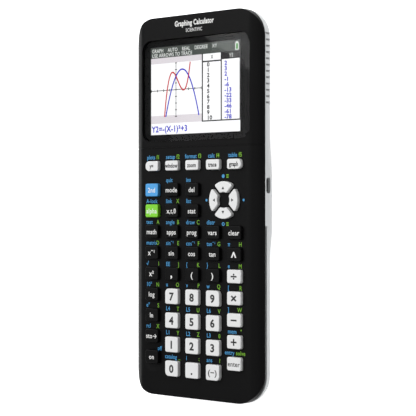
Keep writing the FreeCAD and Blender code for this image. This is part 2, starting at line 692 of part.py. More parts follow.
def draw_groove(sketch, side):
    """One side's groove section: straight down the wall, then round with the back. Side is 1 or -1."""
    first = sketch.GeometryCount
    half = body_width / 2
    arc_x, arc_z = half - back_round, back_level + back_round
    radius = back_round - grip_depth
    top = parting - grip_land
    out = half + 1
    stop = math.radians(60)
    drop = radius * math.sin(stop)
    wall_x = side * (arc_x.value + radius.value)
    low_x = side * (arc_x.value + radius.value * math.cos(stop))
    low_z = (arc_z - drop).value
    out_x = side * out.value

    circle = Part.Circle(FreeCAD.Vector(side * arc_x.value, arc_z.value, 0), FreeCAD.Vector(0, 0, 1), radius.value)
    span = (-stop, 0) if side > 0 else (math.pi, math.pi + stop)
    sketch.addGeometry(Part.ArcOfCircle(circle, *span), False)
    points = [(wall_x, arc_z.value), (wall_x, top.value), (out_x, top.value), (out_x, low_z), (low_x, low_z)]
    for (x1, z1), (x2, z2) in zip(points, points[1:]):
        sketch.addGeometry(Part.LineSegment(FreeCAD.Vector(x1, z1, 0), FreeCAD.Vector(x2, z2, 0)), False)
    curve, wall, upper, outside, lower = range(first, first + 5)
    low_end, wall_end = (1, 2) if side > 0 else (2, 1)
    sketch.addConstraint(Sketcher.Constraint("Tangent", curve, wall_end, wall, 1))
    for pair in ((wall, 2, upper, 1), (upper, 2, outside, 1), (outside, 2, lower, 1), (lower, 2, curve, low_end)):
        sketch.addConstraint(Sketcher.Constraint("Coincident", *pair))
    for item in (upper, lower):
        sketch.addConstraint(Sketcher.Constraint("Horizontal", item))
    for item in (wall, outside):
        sketch.addConstraint(Sketcher.Constraint("Vertical", item))
    driven(sketch, Sketcher.Constraint("Radius", curve, radius.value), radius)
    driven(sketch, Sketcher.Constraint("DistanceX", -1, 1, curve, 3, side * arc_x.value), side * arc_x)
    driven(sketch, Sketcher.Constraint("DistanceX", -1, 1, outside, 1, out_x), side * out)
    driven(sketch, Sketcher.Constraint("DistanceY", -1, 1, curve, 3, arc_z.value), arc_z)
    driven(sketch, Sketcher.Constraint("DistanceY", -1, 1, upper, 1, top.value), top)
    driven(sketch, Sketcher.Constraint("DistanceY", curve, low_end, curve, 3, drop.value), drop)


def grip_grooves(body, base):
    """Upright grooves that follow the side's round, along both sides near the display."""
    sketch = new_sketch(body, "grip_section", "XZ_Plane", -grip_first)
    for side in (1, -1):
        draw_groove(sketch, side)
    sketch.Visibility = False
    groove = body.newObject("PartDesign::Pocket", "grip_groove")
    groove.Profile = sketch
    groove.Midplane = True
    bind(groove, "Length", grip_width)
    body.Tip = groove
    DOC.recompute()
    one_pair = base.Shape.Volume - groove.Shape.Volume
    row = body.newObject("PartDesign::LinearPattern", "grip_row")
    row.Originals = [groove]
    row.Direction = (plane_of(body, "XZ_Plane"), [""])
    bind(row, "Length", grip_pitch * (grip_count - 1))
    bind(row, "Occurrences", grip_count)
    body.Tip = row
    DOC.recompute()
    taken = base.Shape.Volume - row.Shape.Volume
    if abs(taken - one_pair * grip_count.value) > 0.2 * taken:
        raise RuntimeError("the grip grooves miss the side of the case")


def rail_tool():
    """The step along the top of the rear shell that a slide-on cover runs in."""
    reach = body_length / 2 + rail_start + CUT_OVER
    block = box("rail_block", body_width + CUT_OVER, reach, parting - rail_height, parting + 1,
                ZERO, rail_start - reach / 2)
    core = case_outline("rail_core", rail_depth, parting - rail_height - 1, parting + 2)
    return cut("rail_step", block, [core])


def door_block(name, gap):
    """The battery door's outline through the back, grown by a gap."""
    middle = (door_top + door_low) / 2
    return plate(name, door_width + 2 * gap, door_top - door_low + 2 * gap, ZERO - 1,
                 back_level + shell_wall + SINK, door_corner + gap, ZERO, middle)


def usb_tool(name, grow, start, reach):
    """A round-ended bar along X at the USB opening's place."""
    body = new_body(name)
    sketch = new_sketch(body, name + "_outline", "YZ_Plane")
    draw_rectangle(sketch, usb_width + 2 * grow, usb_height + 2 * grow)
    tip = pad(body, sketch, name + "_pad", reach)

    def is_long(edge):
        return isinstance(edge.Curve, Part.Line) and abs(edge.tangentAt(edge.FirstParameter).x) > 0.999

    body.Tip = rounded(body, tip, name + "_ends", is_long, (usb_height + 2 * grow - usb_flat) / 2)
    place(body, start, usb_place, plateau - usb_below)
    return body


def door_screw_place():
    """Middle of the battery door's screw."""
    return ZERO, door_low + door_screw_inset


def rear_cover_and_door():
    """The rear shell, and the battery door cut from the same back."""
    outer_body, outer_tip = tray("rear_outside", ZERO)
    grip_grooves(outer_body, outer_tip)
    hollow_body, hollow_tip = tray("rear_hollow", shell_wall)
    shell = cut("rear_shell", outer_body, [hollow_body])

    posts, holes = [], []
    seat_level = back_level + screw_sink + screw_head_height
    for i, (x, y) in enumerate(screw_places(), start=1):
        posts.append(cylinder(f"rear_post_{i}", boss_radius, back_level + shell_wall / 2,
                              parting - boss_gap, x, y))
        holes.append(cylinder(f"rear_hole_{i}", screw_radius + screw_clear, ZERO, parting + 1, x, y))
        holes.append(cylinder(f"rear_sink_{i}", screw_head_radius + screw_clear, ZERO, seat_level, x, y))
    foot_y = body_length / 2 - foot_inset
    seats = [cylinder(f"foot_seat_{i}", foot_radius, ZERO, back_level + foot_seat, foot_x * sx, foot_y * sy)
             for i, (sx, sy) in enumerate(((1, 1), (-1, 1), (1, -1), (-1, -1)), start=1)]
    usb = usb_tool("usb_opening", ZERO, body_width / 2 - shell_wall - 1, shell_wall + 3)
    solid = fuse("rear_solid", [shell] + posts)
    rear = cut("rear_cover", solid,
               [door_block("door_opening", door_gap), rail_tool(), usb] + holes + seats)

    patch = common("door_patch", shell, door_block("door_outline", ZERO))
    tongue_low = back_level + shell_wall + tongue_gap
    sides = ((1, door_width / -4), (2, door_width / 4))
    roots = [box(f"tongue_root_{i}", tongue_width, tongue_root, back_level, tongue_low + tongue_thick,
                 x, door_top - tongue_root / 2) for i, x in sides]
    tips = [box(f"tongue_tip_{i}", tongue_width, tongue_reach * 2, tongue_low, tongue_low + tongue_thick,
                x, door_top) for i, x in sides]
    hole_x, hole_y = door_screw_place()
    hole = cylinder("door_hole", screw_radius, ZERO, parting, hole_x, hole_y)
    sink = cylinder("door_sink", screw_head_radius + screw_clear, ZERO,
                    hump_clear + screw_sink + screw_head_height, hole_x, hole_y)
    door = cut("battery_door", fuse("door_solid", [patch] + roots + tips), [hole, sink])
    return rear, door


# ---------------------------------------------------------------- keys

def key_table():
    """Every rectangular key: its name, size, place and any larger corners."""
    def column(index):
        return column_pitch * (index - 2)

    def row(index):
        return row_place - row_pitch * index

    keys = []

    def add(name, x, y, height, large=()):
        keys.append({"name": "key_" + name, "x": x, "y": y, "height": height, "large": list(large)})

    function_names = ("y_equals", "window", "zoom", "trace", "graph")
    for index, name in enumerate(function_names):
        large = {0: [(-1, 1), (-1, -1)], 4: [(1, 1), (1, -1)]}.get(index, [])
        add(name, column(index), function_place, function_height, large)
    rows = (("second", "mode", "delete"),
            ("alpha", "variable", "stat"),
            ("math", "apps", "program", "vars", "clear"),
            ("reciprocal", "sin", "cos", "tan", "power"),
            ("square", "comma", "open_bracket", "close_bracket", "divide"))
    for line, names in enumerate(rows):
        for index, name in enumerate(names):
            add(name, column(index), row(line), row_height)
    for line, (left, right) in enumerate((("log", "multiply"), ("ln", "minus"), ("store", "plus"),
                                          ("on", "enter")), start=len(rows)):
        add(left, column(0), row(line), row_height)
        add(right, column(4), row(line), row_height)
    digits = (("digit_7", "digit_8", "digit_9"), ("digit_4", "digit_5", "digit_6"),
              ("digit_1", "digit_2", "digit_3"), ("digit_0", "decimal", "negative"))
    for line, names in enumerate(digits):
        for index, name in enumerate(names, start=1):
            large = {"digit_7": [(-1, 1)], "digit_9": [(1, 1)], "digit_0": [(-1, -1)],
                     "negative": [(1, -1)]}.get(name, [])
            add(name, column(index), digit_place - digit_pitch * line, digit_height, large)
    return keys


def make_key(key):
    """One rectangular key with its flange and plunger, and the opening that it needs."""
    name = key["name"]
    body, cap = key_block(name, key_width, key["height"], flange_top, key_top,
                          key["x"], key["y"], ZERO, key["large"])
    cap = rounded(body, cap, name + "_edge", lambda e: lies_at(e, (key_top - flange_top).value), key_edge)
    flange = new_sketch(body, name + "_flange_outline", level=-key_flange_thick)
    draw_rectangle(flange, key_width + 2 * key_flange, key["height"] + 2 * key_flange)
    pad(body, flange, name + "_flange", key_flange_thick)
    plunger = new_sketch(body, name + "_plunger_outline", level=plunger_bottom - flange_top)
    draw_circle(plunger, plunger_radius)
    body.Tip = pad(body, plunger, name + "_plunger", flange_bottom - plunger_bottom)
    key["opening"] = key_opening(name, key_width, key["height"], key["x"], key["y"], key["large"])
    key["node"] = body
    key["press"] = (key["x"], key["y"])
    return key


def make_arrow(name, turn, reach_x, reach_y):
    """One arrow key; its flange lies under the ring's outside only."""
    name = "key_" + name
    body, cap = wedge(name, ZERO, flange_top, key_top, turn)
    cap = rounded(body, cap, name + "_edge", lambda e: lies_at(e, (key_top - flange_top).value), key_edge)
    flange = new_sketch(body, name + "_flange_outline", level=-key_flange_thick)
    draw_wedge(flange, ring_radius + key_flange, ring_inner + key_flange, ring_gap + ring_flange_gap)
    pad(body, flange, name + "_flange", key_flange_thick)
    middle = (ring_radius + ring_inner) / 2
    plunger = new_sketch(body, name + "_plunger_outline", level=plunger_bottom - flange_top)
    bind(plunger, "AttachmentOffset.Base.y", middle)
    draw_circle(plunger, plunger_radius)
    body.Tip = pad(body, plunger, name + "_plunger", flange_bottom - plunger_bottom)
    opening = wedge("opening_" + name, key_clear, ledge_bottom, plateau + CUT_OVER, turn)[0]
    return {"name": name, "node": body, "opening": opening,
            "press": (ring_x + middle * reach_x, ring_y + middle * reach_y)}


def all_keys():
    """The 46 rectangular keys and the four arrows."""
    keys = [make_key(key) for key in key_table()]
    arrows = (("up", 0, 0, 1), ("left", 90, -1, 0), ("down", 180, 0, -1), ("right", 270, 1, 0))
    return keys + [make_arrow(*arrow) for arrow in arrows]


# ---------------------------------------------------------------- what is inside, and the small parts

def key_mat(keys):
    """Rubber sheet on the board, with a collar that guides each key's plunger."""
    low_y = digit_place - 3 * digit_pitch - collar_radius - mat_border
    high_y = function_place + collar_radius + mat_border
    width = 4 * column_pitch + 2 * collar_radius + 2 * mat_border
    collars = [cylinder(f"collar_{i}", collar_radius, board_top, board_top + mat_thick + collar_height,
                        *key["press"]) for i, key in enumerate(keys)]
    bores = [cylinder(f"collar_bore_{i}", plunger_radius + plunger_clear, board_top + mat_thick,
                      board_top + mat_thick + collar_height + 1, *key["press"])
             for i, key in enumerate(keys)]
    mat = plate("mat_plate", width, high_y - low_y, board_top, board_top + mat_thick, mat_border,
                ZERO, (high_y + low_y) / 2)
    return cut("key_mat", fuse("mat_solid", [mat] + collars), bores)


def circuit_board():
    """Board with its chips and the USB socket, which sits in a notch in the board's edge."""
    board = plate("board_plate", board_width, board_length, board_bottom, board_top, board_corner)
    socket_end = body_width / 2 - shell_wall - usb_set_back
    notch = box("board_notch", usb_reach * 2, usb_width + 2 * (usb_metal + usb_clear), board_bottom - 1,
                board_top + 1, socket_end, usb_place)
    chip_table = (("processor", processor_side, processor_x, door_low - chip_near),
                  ("memory", memory_side, memory_x, door_low - chip_far),
                  ("charger", charger_side, charger_x, door_top + chip_near))
    chips = [plate(name, side, side, board_bottom - chip_thick, board_bottom, chip_corner, x, y)
             for name, side, x, y in chip_table]
    shell = usb_tool("usb_shell", usb_metal, socket_end - usb_reach, usb_reach)
    mouth = usb_tool("usb_mouth", ZERO, socket_end - usb_reach + usb_back, usb_reach)
    blade_middle = socket_end - usb_reach + usb_back - SINK + blade_reach / 2
    blade = box("usb_blade", blade_reach, blade_width, plateau - usb_below - blade_thick / 2,
                plateau - usb_below + blade_thick / 2, blade_middle, usb_place)
    socket = fuse("usb_socket", [cut("usb_case", shell, [mouth]), blade])
    return group("circuit_board", [cut("board", fuse("board_and_chips", [board] + chips), [notch]), socket])


def case_screw(name, x, y, head_level, reach):
    """A pan-head screw with a cross recess, head down."""
    shank = cylinder(name + "_shank", screw_radius, head_level, head_level + screw_head_height + reach, x, y)
    head = cylinder(name + "_head", screw_head_radius, head_level, head_level + screw_head_height, x, y)
    arms = ((cross_width, cross_length), (cross_length, cross_width))
    slots = [box(f"{name}_slot_{i}", width, length, head_level - 1, head_level + screw_head_height / 2, x, y)
             for i, (width, length) in enumerate(arms, start=1)]
    return cut(name, fuse(name + "_solid", [shank, head]), slots)


def screws():
    """Six case screws and the battery door's screw."""
    head = back_level + screw_sink
    reach = parting + screw_bite - head - screw_head_height
    made = [case_screw(f"case_screw_{i}", x, y, head, reach)
            for i, (x, y) in enumerate(screw_places(), start=1)]
    door_x, door_y = door_screw_place()
    made.append(case_screw("door_screw", door_x, door_y, hump_clear + screw_sink, shell_wall))
    return group("screws", made)


def feet():
    """Four rubber feet let into the back."""
    foot_y = body_length / 2 - foot_inset
    made = []
    for i, (sx, sy) in enumerate(((1, 1), (-1, 1), (1, -1), (-1, -1)), start=1):
        body = new_body(f"foot_{i}")
        sketch = new_sketch(body, f"foot_{i}_outline")
        draw_circle(sketch, foot_radius)
        tip = pad(body, sketch, f"foot_{i}_pad", back_level + foot_seat)
        body.Tip = rounded(body, tip, f"foot_{i}_edge", lambda e: lies_at(e, 0), foot_edge,
                           "PartDesign::Chamfer", "Size")
        place(body, foot_x * sx, foot_y * sy)
        made.append(body)
    return group("feet", made)


def display_module():
    """The display in its frame; its glass stands up through the ledge, close behind the window."""
    top = ledge_bottom - module_gap
    casing = plate("module_casing", picture_width + 2 * module_border, picture_length + 2 * module_border,
                   top - module_thick, top, module_corner, picture_shift, window_place)
    glass = plate("module_glass", picture_width + 2 * glass_border, picture_length + 2 * glass_border,
                  top - SINK, window_floor - glass_gap, None, picture_shift, window_place)
    return fuse("display_module", [casing, glass])


def build():
    """Make every node."""
    keys = all_keys()
    rear, door = rear_cover_and_door()
    window = plate("display_window", window_width - 2 * window_gap, window_length - 2 * window_gap,
                   window_floor, window_floor + window_thick, window_radius - window_gap, ZERO, window_place)
    battery_top = board_bottom - battery_clear
    battery = plate("battery_pack", battery_width, battery_length, battery_top - battery_thick, battery_top,
                    battery_corner, ZERO, battery_place)
    return [front_cover(keys), rear, door, window, display_module(), battery, key_mat(keys), circuit_board(),
            screws(), feet()] + [key["node"] for key in keys]


def check_document():
    """Stop if any object failed."""
    failed = [thing.Label for thing in DOC.Objects if {"Invalid", "Error"} & set(thing.State)]
    if failed:
        raise RuntimeError("failed: " + ", ".join(failed))


def export(nodes):
    """Check every node and write it to parts/."""
    os.makedirs("parts", exist_ok=True)
    for node in nodes:
        if node.Shape.isNull() or not node.Shape.isValid():
            raise RuntimeError(f"{node.Label} has no valid shape")
    for node in nodes:
        node.Shape.exportStep(f"parts/{node.Label}.step")


NODES = build()
DOC.recompute()
check_document()
export(NODES)
print(len(NODES), "nodes written")
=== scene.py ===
"""Looks of a graphing calculator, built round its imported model.

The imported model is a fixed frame: its nodes keep their shape and place and get
their finishes here. What is added is what the frame leaves out: the picture on
the display, the black border behind the lens, and everything that is printed on
the keys and on the front cover.
"""
from __future__ import annotations

import logging
import math
from abc import ABC, abstractmethod
from dataclasses import dataclass, field
from enum import Enum
from typing import Callable

import bpy
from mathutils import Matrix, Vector


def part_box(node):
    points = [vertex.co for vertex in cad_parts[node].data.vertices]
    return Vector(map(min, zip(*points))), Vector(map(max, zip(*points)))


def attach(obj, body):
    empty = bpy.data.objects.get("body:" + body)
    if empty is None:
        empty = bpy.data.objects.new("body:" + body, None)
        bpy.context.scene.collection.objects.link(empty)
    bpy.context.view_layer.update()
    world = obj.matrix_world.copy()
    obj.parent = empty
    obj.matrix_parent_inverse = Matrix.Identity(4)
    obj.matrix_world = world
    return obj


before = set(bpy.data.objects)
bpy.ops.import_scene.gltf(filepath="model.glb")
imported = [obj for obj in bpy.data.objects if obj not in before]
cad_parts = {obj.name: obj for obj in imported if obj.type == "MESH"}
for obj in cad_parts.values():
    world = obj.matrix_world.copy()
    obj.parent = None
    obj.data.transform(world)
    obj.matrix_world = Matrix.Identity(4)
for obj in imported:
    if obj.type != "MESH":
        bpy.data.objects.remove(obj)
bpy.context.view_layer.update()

LOG = logging.getLogger("calculator")
MM = 0.001
TYPE_MERGE = 1e-5
PRINT_LIFT = 0.002 * MM
Colour = tuple[float, float, float]
Piece = bpy.types.Object
Tree = bpy.types.NodeTree
Node = bpy.types.Node
Socket = bpy.types.NodeSocket


# ---------------------------------------------------------------- shared steps


def clear_selection() -> None:
    """Leave nothing selected and no mesh in edit mode."""
    if bpy.context.object is not None and bpy.context.object.mode != "OBJECT":
        bpy.ops.object.mode_set(mode="OBJECT")
    bpy.ops.object.select_all(action="DESELECT")


def pick(piece: Piece) -> None:
    """Make one piece the only selected and the active one."""
    clear_selection()
    piece.select_set(True)
    bpy.context.view_layer.objects.active = piece


def settle(piece: Piece) -> None:
    """Move a piece's place, turn and scale into its mesh."""
    pick(piece)
    bpy.ops.object.transform_apply(location=True, rotation=True, scale=True)


def close_up(piece: Piece, reach: float = 1e-7) -> None:
    """Merge doubled points and turn every face outwards.

    Args:
        piece: the mesh to close.
        reach: the greatest distance over which points are merged.
    """
    pick(piece)
    bpy.ops.object.mode_set(mode="EDIT")
    bpy.ops.mesh.select_all(action="SELECT")
    bpy.ops.mesh.remove_doubles(threshold=reach)
    bpy.ops.mesh.normals_make_consistent(inside=False)
    bpy.ops.object.mode_set(mode="OBJECT")


def join(name: str, pieces: list[Piece]) -> Piece:
    """Join pieces into the first of them.

    Args:
        name: the joined piece's name.
        pieces: the pieces, at least one.

    Returns:
        The joined piece.
    """
    pick(pieces[0])
    for piece in pieces[1:]:
        piece.select_set(True)
    if len(pieces) > 1:
        bpy.ops.object.join()
    joined = bpy.context.object
    name_piece(joined, name)
    return joined


def bevel_edges(piece: Piece, wanted: Callable[[Vector, Vector], bool], offset: float, segments: int) -> None:
    """Round the edges of a piece that a test picks out.

    Args:
        piece: the mesh to round.
        wanted: takes an edge's two ends and says whether it is rounded.
        offset: the size of the round.
        segments: how many faces make the round.
    """
    pick(piece)
    bpy.ops.object.mode_set(mode="EDIT")
    bpy.ops.mesh.select_mode(type="EDGE")
    bpy.ops.mesh.select_all(action="DESELECT")
    bpy.ops.object.mode_set(mode="OBJECT")
    points = piece.data.vertices
    for edge in piece.data.edges:
        first, second = (points[i].co for i in edge.vertices)
        edge.select = wanted(first, second)
    bpy.ops.object.mode_set(mode="EDIT")
    bpy.ops.mesh.bevel(offset=offset, segments=segments, affect="EDGES")
    bpy.ops.object.mode_set(mode="OBJECT")


def stands(first: Vector, second: Vector) -> bool:
    """Say whether the edge between two points stands upright."""
    return math.hypot(first.x - second.x, first.y - second.y) < 1e-6


def name_piece(piece: Piece, name: str) -> None:
    """Give a piece and its mesh one name."""
    piece.name = name
    piece.data.name = name


def slab(name: str, low: Vector, high: Vector, radius: float = 0.0, segments: int = 6) -> Piece:
    """Model a flat plate with rounded corners.

    Args:
        name: the plate's name.
        low: its lowest corner.
        high: its highest corner.
        radius: the radius of its upright corners.
        segments: how many faces make each corner.

    Returns:
        The plate, settled and closed.
    """
    clear_selection()
    bpy.ops.mesh.primitive_cube_add(size=1.0, location=(low + high) / 2)
    plate = bpy.context.object
    name_piece(plate, name)
    plate.scale = high - low
    settle(plate)
    if radius > 0:
        bevel_edges(plate, stands, radius, segments)
    return plate


def subtract(piece: Piece, cutter: Piece) -> None:
    """Cut one piece out of another, and delete the cutter.

    Args:
        piece: the piece that is cut.
        cutter: the shape that is taken away.
    """
    pick(piece)
    change = piece.modifiers.new("cut", "BOOLEAN")
    change.operation = "DIFFERENCE"
    change.solver = "EXACT"
    change.object = cutter
    bpy.ops.object.modifier_apply(modifier=change.name)
    bpy.data.objects.remove(cutter)


# -------------------------------------------------------------------- finishes


def set_inputs(node: Node, values: dict[str, float | tuple[float, ...]]) -> None:
    """Set inputs of a node, by name, to numbers and colours."""
    for label, value in values.items():
        node.inputs[label].default_value = value


def noise(tree: Tree, where: Socket, scale: float, detail: float = 2.0, roughness: float = 0.5) -> Node:
    """Add a noise texture.

    Args:
        tree: the node tree that it goes in.
        where: the socket that gives its coordinates.
        scale: its scale, in features a metre.
        detail: its detail.
        roughness: how strong its finer detail is.

    Returns:
        The texture node.
    """
    node = tree.nodes.new("ShaderNodeTexNoise")
    set_inputs(node, {"Scale": scale, "Detail": detail, "Roughness": roughness})
    tree.links.new(where, node.inputs["Vector"])
    return node


def span(tree: Tree, value: Socket, low: float, high: float, to_low: float, to_high: float) -> Socket:
    """Map a value from one range to another.

    Args:
        tree: the node tree.
        value: the value that is mapped.
        low: the value that becomes to_low.
        high: the value that becomes to_high.
        to_low: the result's first end.
        to_high: the result's other end.

    Returns:
        The result.
    """
    node = tree.nodes.new("ShaderNodeMapRange")
    set_inputs(node, {"From Min": low, "From Max": high, "To Min": to_low, "To Max": to_high})
    tree.links.new(value, node.inputs["Value"])
    return node.outputs["Result"]


def maths(tree: Tree, operation: str, *values: Socket | float) -> Socket:
    """Add a Math node.

    Args:
        tree: the node tree.
        operation: what the node works out.
        values: its inputs, as sockets or numbers.

    Returns:
        Its result.
    """
    node = tree.nodes.new("ShaderNodeMath")
    node.operation = operation
    for i, value in enumerate(values):
        if isinstance(value, (int, float)):
            node.inputs[i].default_value = value
        else:
            tree.links.new(value, node.inputs[i])
    return node.outputs[0]


def blend_colours(tree: Tree, amount: Socket, first: Colour | Socket, second: Colour | Socket) -> Socket:
    """Mix two colours.

    Args:
        tree: the node tree.
        amount: how much of the second colour there is.
        first: the colour at none.
        second: the colour at one.

    Returns:
        The mixed colour.
    """
    node = tree.nodes.new("ShaderNodeMix")
    node.data_type = "RGBA"
    tree.links.new(amount, node.inputs["Factor"])
    for socket, value in ((node.inputs[6], first), (node.inputs[7], second)):
        if isinstance(value, tuple):
            socket.default_value = (*value, 1.0)
        else:
            tree.links.new(value, socket)
    return node.outputs[2]


def group_of(name: str, inputs: dict[str, float | None], outputs: tuple[str, ...],
             wire: Callable[[Tree, Node, Node], None]) -> Tree:
    """Make a shader node group once, and return it.

    Args:
        name: the group's name.
        inputs: each input's name and value, or None for a vector.
        outputs: the names of its outputs, which are all values.
        wire: joins its nodes, given the tree and its input and output nodes.

    Returns:
        The node group.
    """
    if name in bpy.data.node_groups:
        return bpy.data.node_groups[name]
    tree = bpy.data.node_groups.new(name, "ShaderNodeTree")
    for label, value in inputs.items():
        kind = "NodeSocketVector" if value is None else "NodeSocketFloat"
        socket = tree.interface.new_socket(label, in_out="INPUT", socket_type=kind)
        if value is not None:
            socket.default_value = value
    for label in outputs:
        tree.interface.new_socket(label, in_out="OUTPUT", socket_type="NodeSocketFloat")
    wire(tree, tree.nodes.new("NodeGroupInput"), tree.nodes.new("NodeGroupOutput"))
    return tree


def wire_grain(tree: Tree, given: Node, result: Node) -> None:
    """Join the nodes of the moulded grain: a fine pebble, and slow drifts of tone and shine.

    Args:
        tree: the group's node tree.
        given: its input node.
        result: its output node.
    """
    pebble = tree.nodes.new("ShaderNodeTexVoronoi")
    pebble.feature = "SMOOTH_F1"
    fine = tree.nodes.new("ShaderNodeTexNoise")
    fine.inputs["Detail"].default_value = 4.0
    drift = tree.nodes.new("ShaderNodeTexNoise")
    drift.inputs["Detail"].default_value = 3.0
    for node, scale in ((pebble, "Grain"), (fine, "Grain"), (drift, "Drift")):
        tree.links.new(given.outputs["Vector"], node.inputs["Vector"])
        tree.links.new(given.outputs[scale], node.inputs["Scale"])
    height = maths(tree, "ADD", maths(tree, "MULTIPLY", pebble.outputs["Distance"], 0.6), fine.outputs[0])
    tree.links.new(height, result.inputs["Height"])
    tree.links.new(span(tree, drift.outputs[0], 0.3, 0.7, 0.0, 1.0), result.inputs["Tone"])
    tree.links.new(span(tree, fine.outputs[0], 0.25, 0.75, 0.0, 1.0), result.inputs["Speckle"])


def grain_group() -> Tree:
    """Return the node group of the moulded grain."""
    return group_of("moulded_grain", {"Vector": None, "Grain": 4000.0, "Drift": 40.0},
                    ("Height", "Tone", "Speckle"), wire_grain)


def wire_cells(tree: Tree, given: Node, result: Node) -> None:
    """Join the nodes of the display's grid: dark lines between square cells.

    Args:
        tree: the group's node tree.
        given: its input node.
        result: its output node.
    """
    split = tree.nodes.new("ShaderNodeSeparateXYZ")
    tree.links.new(given.outputs["Vector"], split.inputs[0])
    lines = []
    for axis in ("X", "Y"):
        cell = maths(tree, "FRACT", maths(tree, "DIVIDE", split.outputs[axis], given.outputs["Pitch"]))
        off_middle = maths(tree, "ABSOLUTE", maths(tree, "SUBTRACT", cell, 0.5))
        lines.append(maths(tree, "GREATER_THAN", off_middle, 0.44))
    tree.links.new(maths(tree, "MAXIMUM", *lines), result.inputs["Line"])


def wire_ink(tree: Tree, given: Node, result: Node) -> None:
    """Join the nodes of printed ink: a cover that thins in specks, and a slightly raised film.

    Args:
        tree: the group's node tree.
        given: its input node.
        result: its output node.
    """
    specks = tree.nodes.new("ShaderNodeTexNoise")
    specks.inputs["Detail"].default_value = 5.0
    tree.links.new(given.outputs["Vector"], specks.inputs["Vector"])
    tree.links.new(given.outputs["Specks"], specks.inputs["Scale"])
    tree.links.new(span(tree, specks.outputs[0], 0.28, 0.42, 0.0, 1.0), result.inputs["Cover"])
    tree.links.new(specks.outputs[0], result.inputs["Height"])


@dataclass(frozen=True)
class Finish(ABC):
    """A finish that a piece can have."""

    name: str

    def material(self) -> bpy.types.Material:
        """Return this finish's material, made the first time that it is asked for."""
        if self.name in bpy.data.materials:
            return bpy.data.materials[self.name]
        made = bpy.data.materials.new(self.name)
        made.use_nodes = True
        tree = made.node_tree
        shader = tree.nodes["Principled BSDF"]
        where = tree.nodes.new("ShaderNodeTexCoord").outputs["Object"]
        self.mix(tree, shader, where)
        return made

    @abstractmethod
    def mix(self, tree: Tree, shader: Node, where: Socket) -> None:
        """Wire the finish into the shader.

        Args:
            tree: the material's node tree.
            shader: its Principled shader.
            where: the socket with the piece's coordinates.
        """

    @staticmethod
    def placed(tree: Tree, group: Tree, where: Socket, **values: float) -> Node:
        """Place a node group in a material.

        Args:
            tree: the material's node tree.
            group: the group.
            where: the socket with the piece's coordinates.
            values: the group's inputs by name.

        Returns:
            The group's node.
        """
        node = tree.nodes.new("ShaderNodeGroup")
        node.node_tree = group
        tree.links.new(where, node.inputs["Vector"])
        set_inputs(node, values)
        return node

    @staticmethod
    def paint(tree: Tree, shader: Node, amount: Socket, first: Colour | Socket, second: Colour | Socket) -> None:
        """Colour the shader with two colours, mixed by an amount."""
        tree.links.new(blend_colours(tree, amount, first, second), shader.inputs["Base Color"])

    @staticmethod
    def shine(tree: Tree, shader: Node, value: Socket, *limits: float) -> None:
        """Feed a value into the shader's roughness, mapped between the limits that span takes."""
        tree.links.new(span(tree, value, *limits), shader.inputs["Roughness"])

    @staticmethod
    def emboss(tree: Tree, shader: Node, height: Socket, depth: float) -> None:
        """Feed a height into the shader's normal.

        Args:
            tree: the material's node tree.
            shader: its Principled shader.
            height: the height, from nothing to one.
            depth: how deep one is, in metres.
        """
        bump = tree.nodes.new("ShaderNodeBump")
        set_inputs(bump, {"Strength": 1.0, "Distance": depth})
        tree.links.new(height, bump.inputs["Height"])
        tree.links.new(bump.outputs["Normal"], shader.inputs["Normal"])


@dataclass(frozen=True)
class Moulded(Finish):
    """Moulded plastic with a fine eroded grain."""

    colour: Colour
    roughness: float = 0.45
    grain: float = 4200.0
    depth: float = 0.000012
    variation: float = 0.10
    specular: float = 0.5

    def mix(self, tree: Tree, shader: Node, where: Socket) -> None:
        """Wire the grain into colour, shine and relief."""
        grain = self.placed(tree, grain_group(), where, Grain=self.grain, Drift=45.0)
        darker = tuple(c * (1 - self.variation) for c in self.colour)
        lighter = tuple(min(c * (1 + self.variation), 1.0) for c in self.colour)
        amount = maths(tree, "ADD", maths(tree, "MULTIPLY", grain.outputs["Tone"], 0.6),
                       maths(tree, "MULTIPLY", grain.outputs["Speckle"], 0.4))
        self.paint(tree, shader, amount, darker, lighter)
        self.shine(tree, shader, grain.outputs["Speckle"], 0.0, 1.0, self.roughness - 0.06, self.roughness + 0.08)
        set_inputs(shader, {"Specular IOR Level": self.specular})
        self.emboss(tree, shader, grain.outputs["Height"], self.depth)


@dataclass(frozen=True)
class Gripped(Moulded):
    """Moulded plastic with painted shade in a row of grip grooves on both sides.

    The highest groove is at first, and the others follow below it at the pitch. The painted groove shade lies above
    the floor's level, between skin and depth_in from the side of the case, and keeps a share of the plastic's
    brightness that shade gives.
    """

    half_width: float = 42.1 * MM
    first: float = 82.4 * MM
    pitch: float = 3.0 * MM
    count: int = 12
    groove: float = 0.9 * MM
    share: float = 0.55
    skin: float = 0.08 * MM
    depth_in: float = 4.0 * MM
    floor: float = 5.0 * MM
    shade: float = 0.30

    def mix(self, tree: Tree, shader: Node, where: Socket) -> None:
        """Wire the plain plastic, with painted shade darkening it inside the grooves."""
        super().mix(tree, shader, where)
        split = tree.nodes.new("ShaderNodeSeparateXYZ")
        tree.links.new(where, split.inputs[0])
        across = maths(tree, "ABSOLUTE", split.outputs["X"])
        down = maths(tree, "DIVIDE", maths(tree, "SUBTRACT", self.first, split.outputs["Y"]), self.pitch)
        off_middle = maths(tree, "ABSOLUTE", maths(tree, "SUBTRACT", down, maths(tree, "ROUND", down)))
        tests = (maths(tree, "LESS_THAN", across, self.half_width - self.skin),
                 maths(tree, "GREATER_THAN", across, self.half_width - self.depth_in),
                 maths(tree, "LESS_THAN", off_middle, self.share * self.groove / self.pitch),
                 maths(tree, "GREATER_THAN", down, -0.5),
                 maths(tree, "LESS_THAN", down, self.count - 0.5),
                 maths(tree, "GREATER_THAN", split.outputs["Z"], self.floor))
        inside = tests[0]
        for test in tests[1:]:
            inside = maths(tree, "MULTIPLY", inside, test)
        # Painted shade: inside each grip groove the plastic's colour is mixed to a darker copy of itself, standing
        # in for the shade that falls there.
        plain = shader.inputs["Base Color"].links[0].from_socket
        painted_groove_shade = tuple(self.shade * c for c in self.colour)
        self.paint(tree, shader, inside, plain, painted_groove_shade)


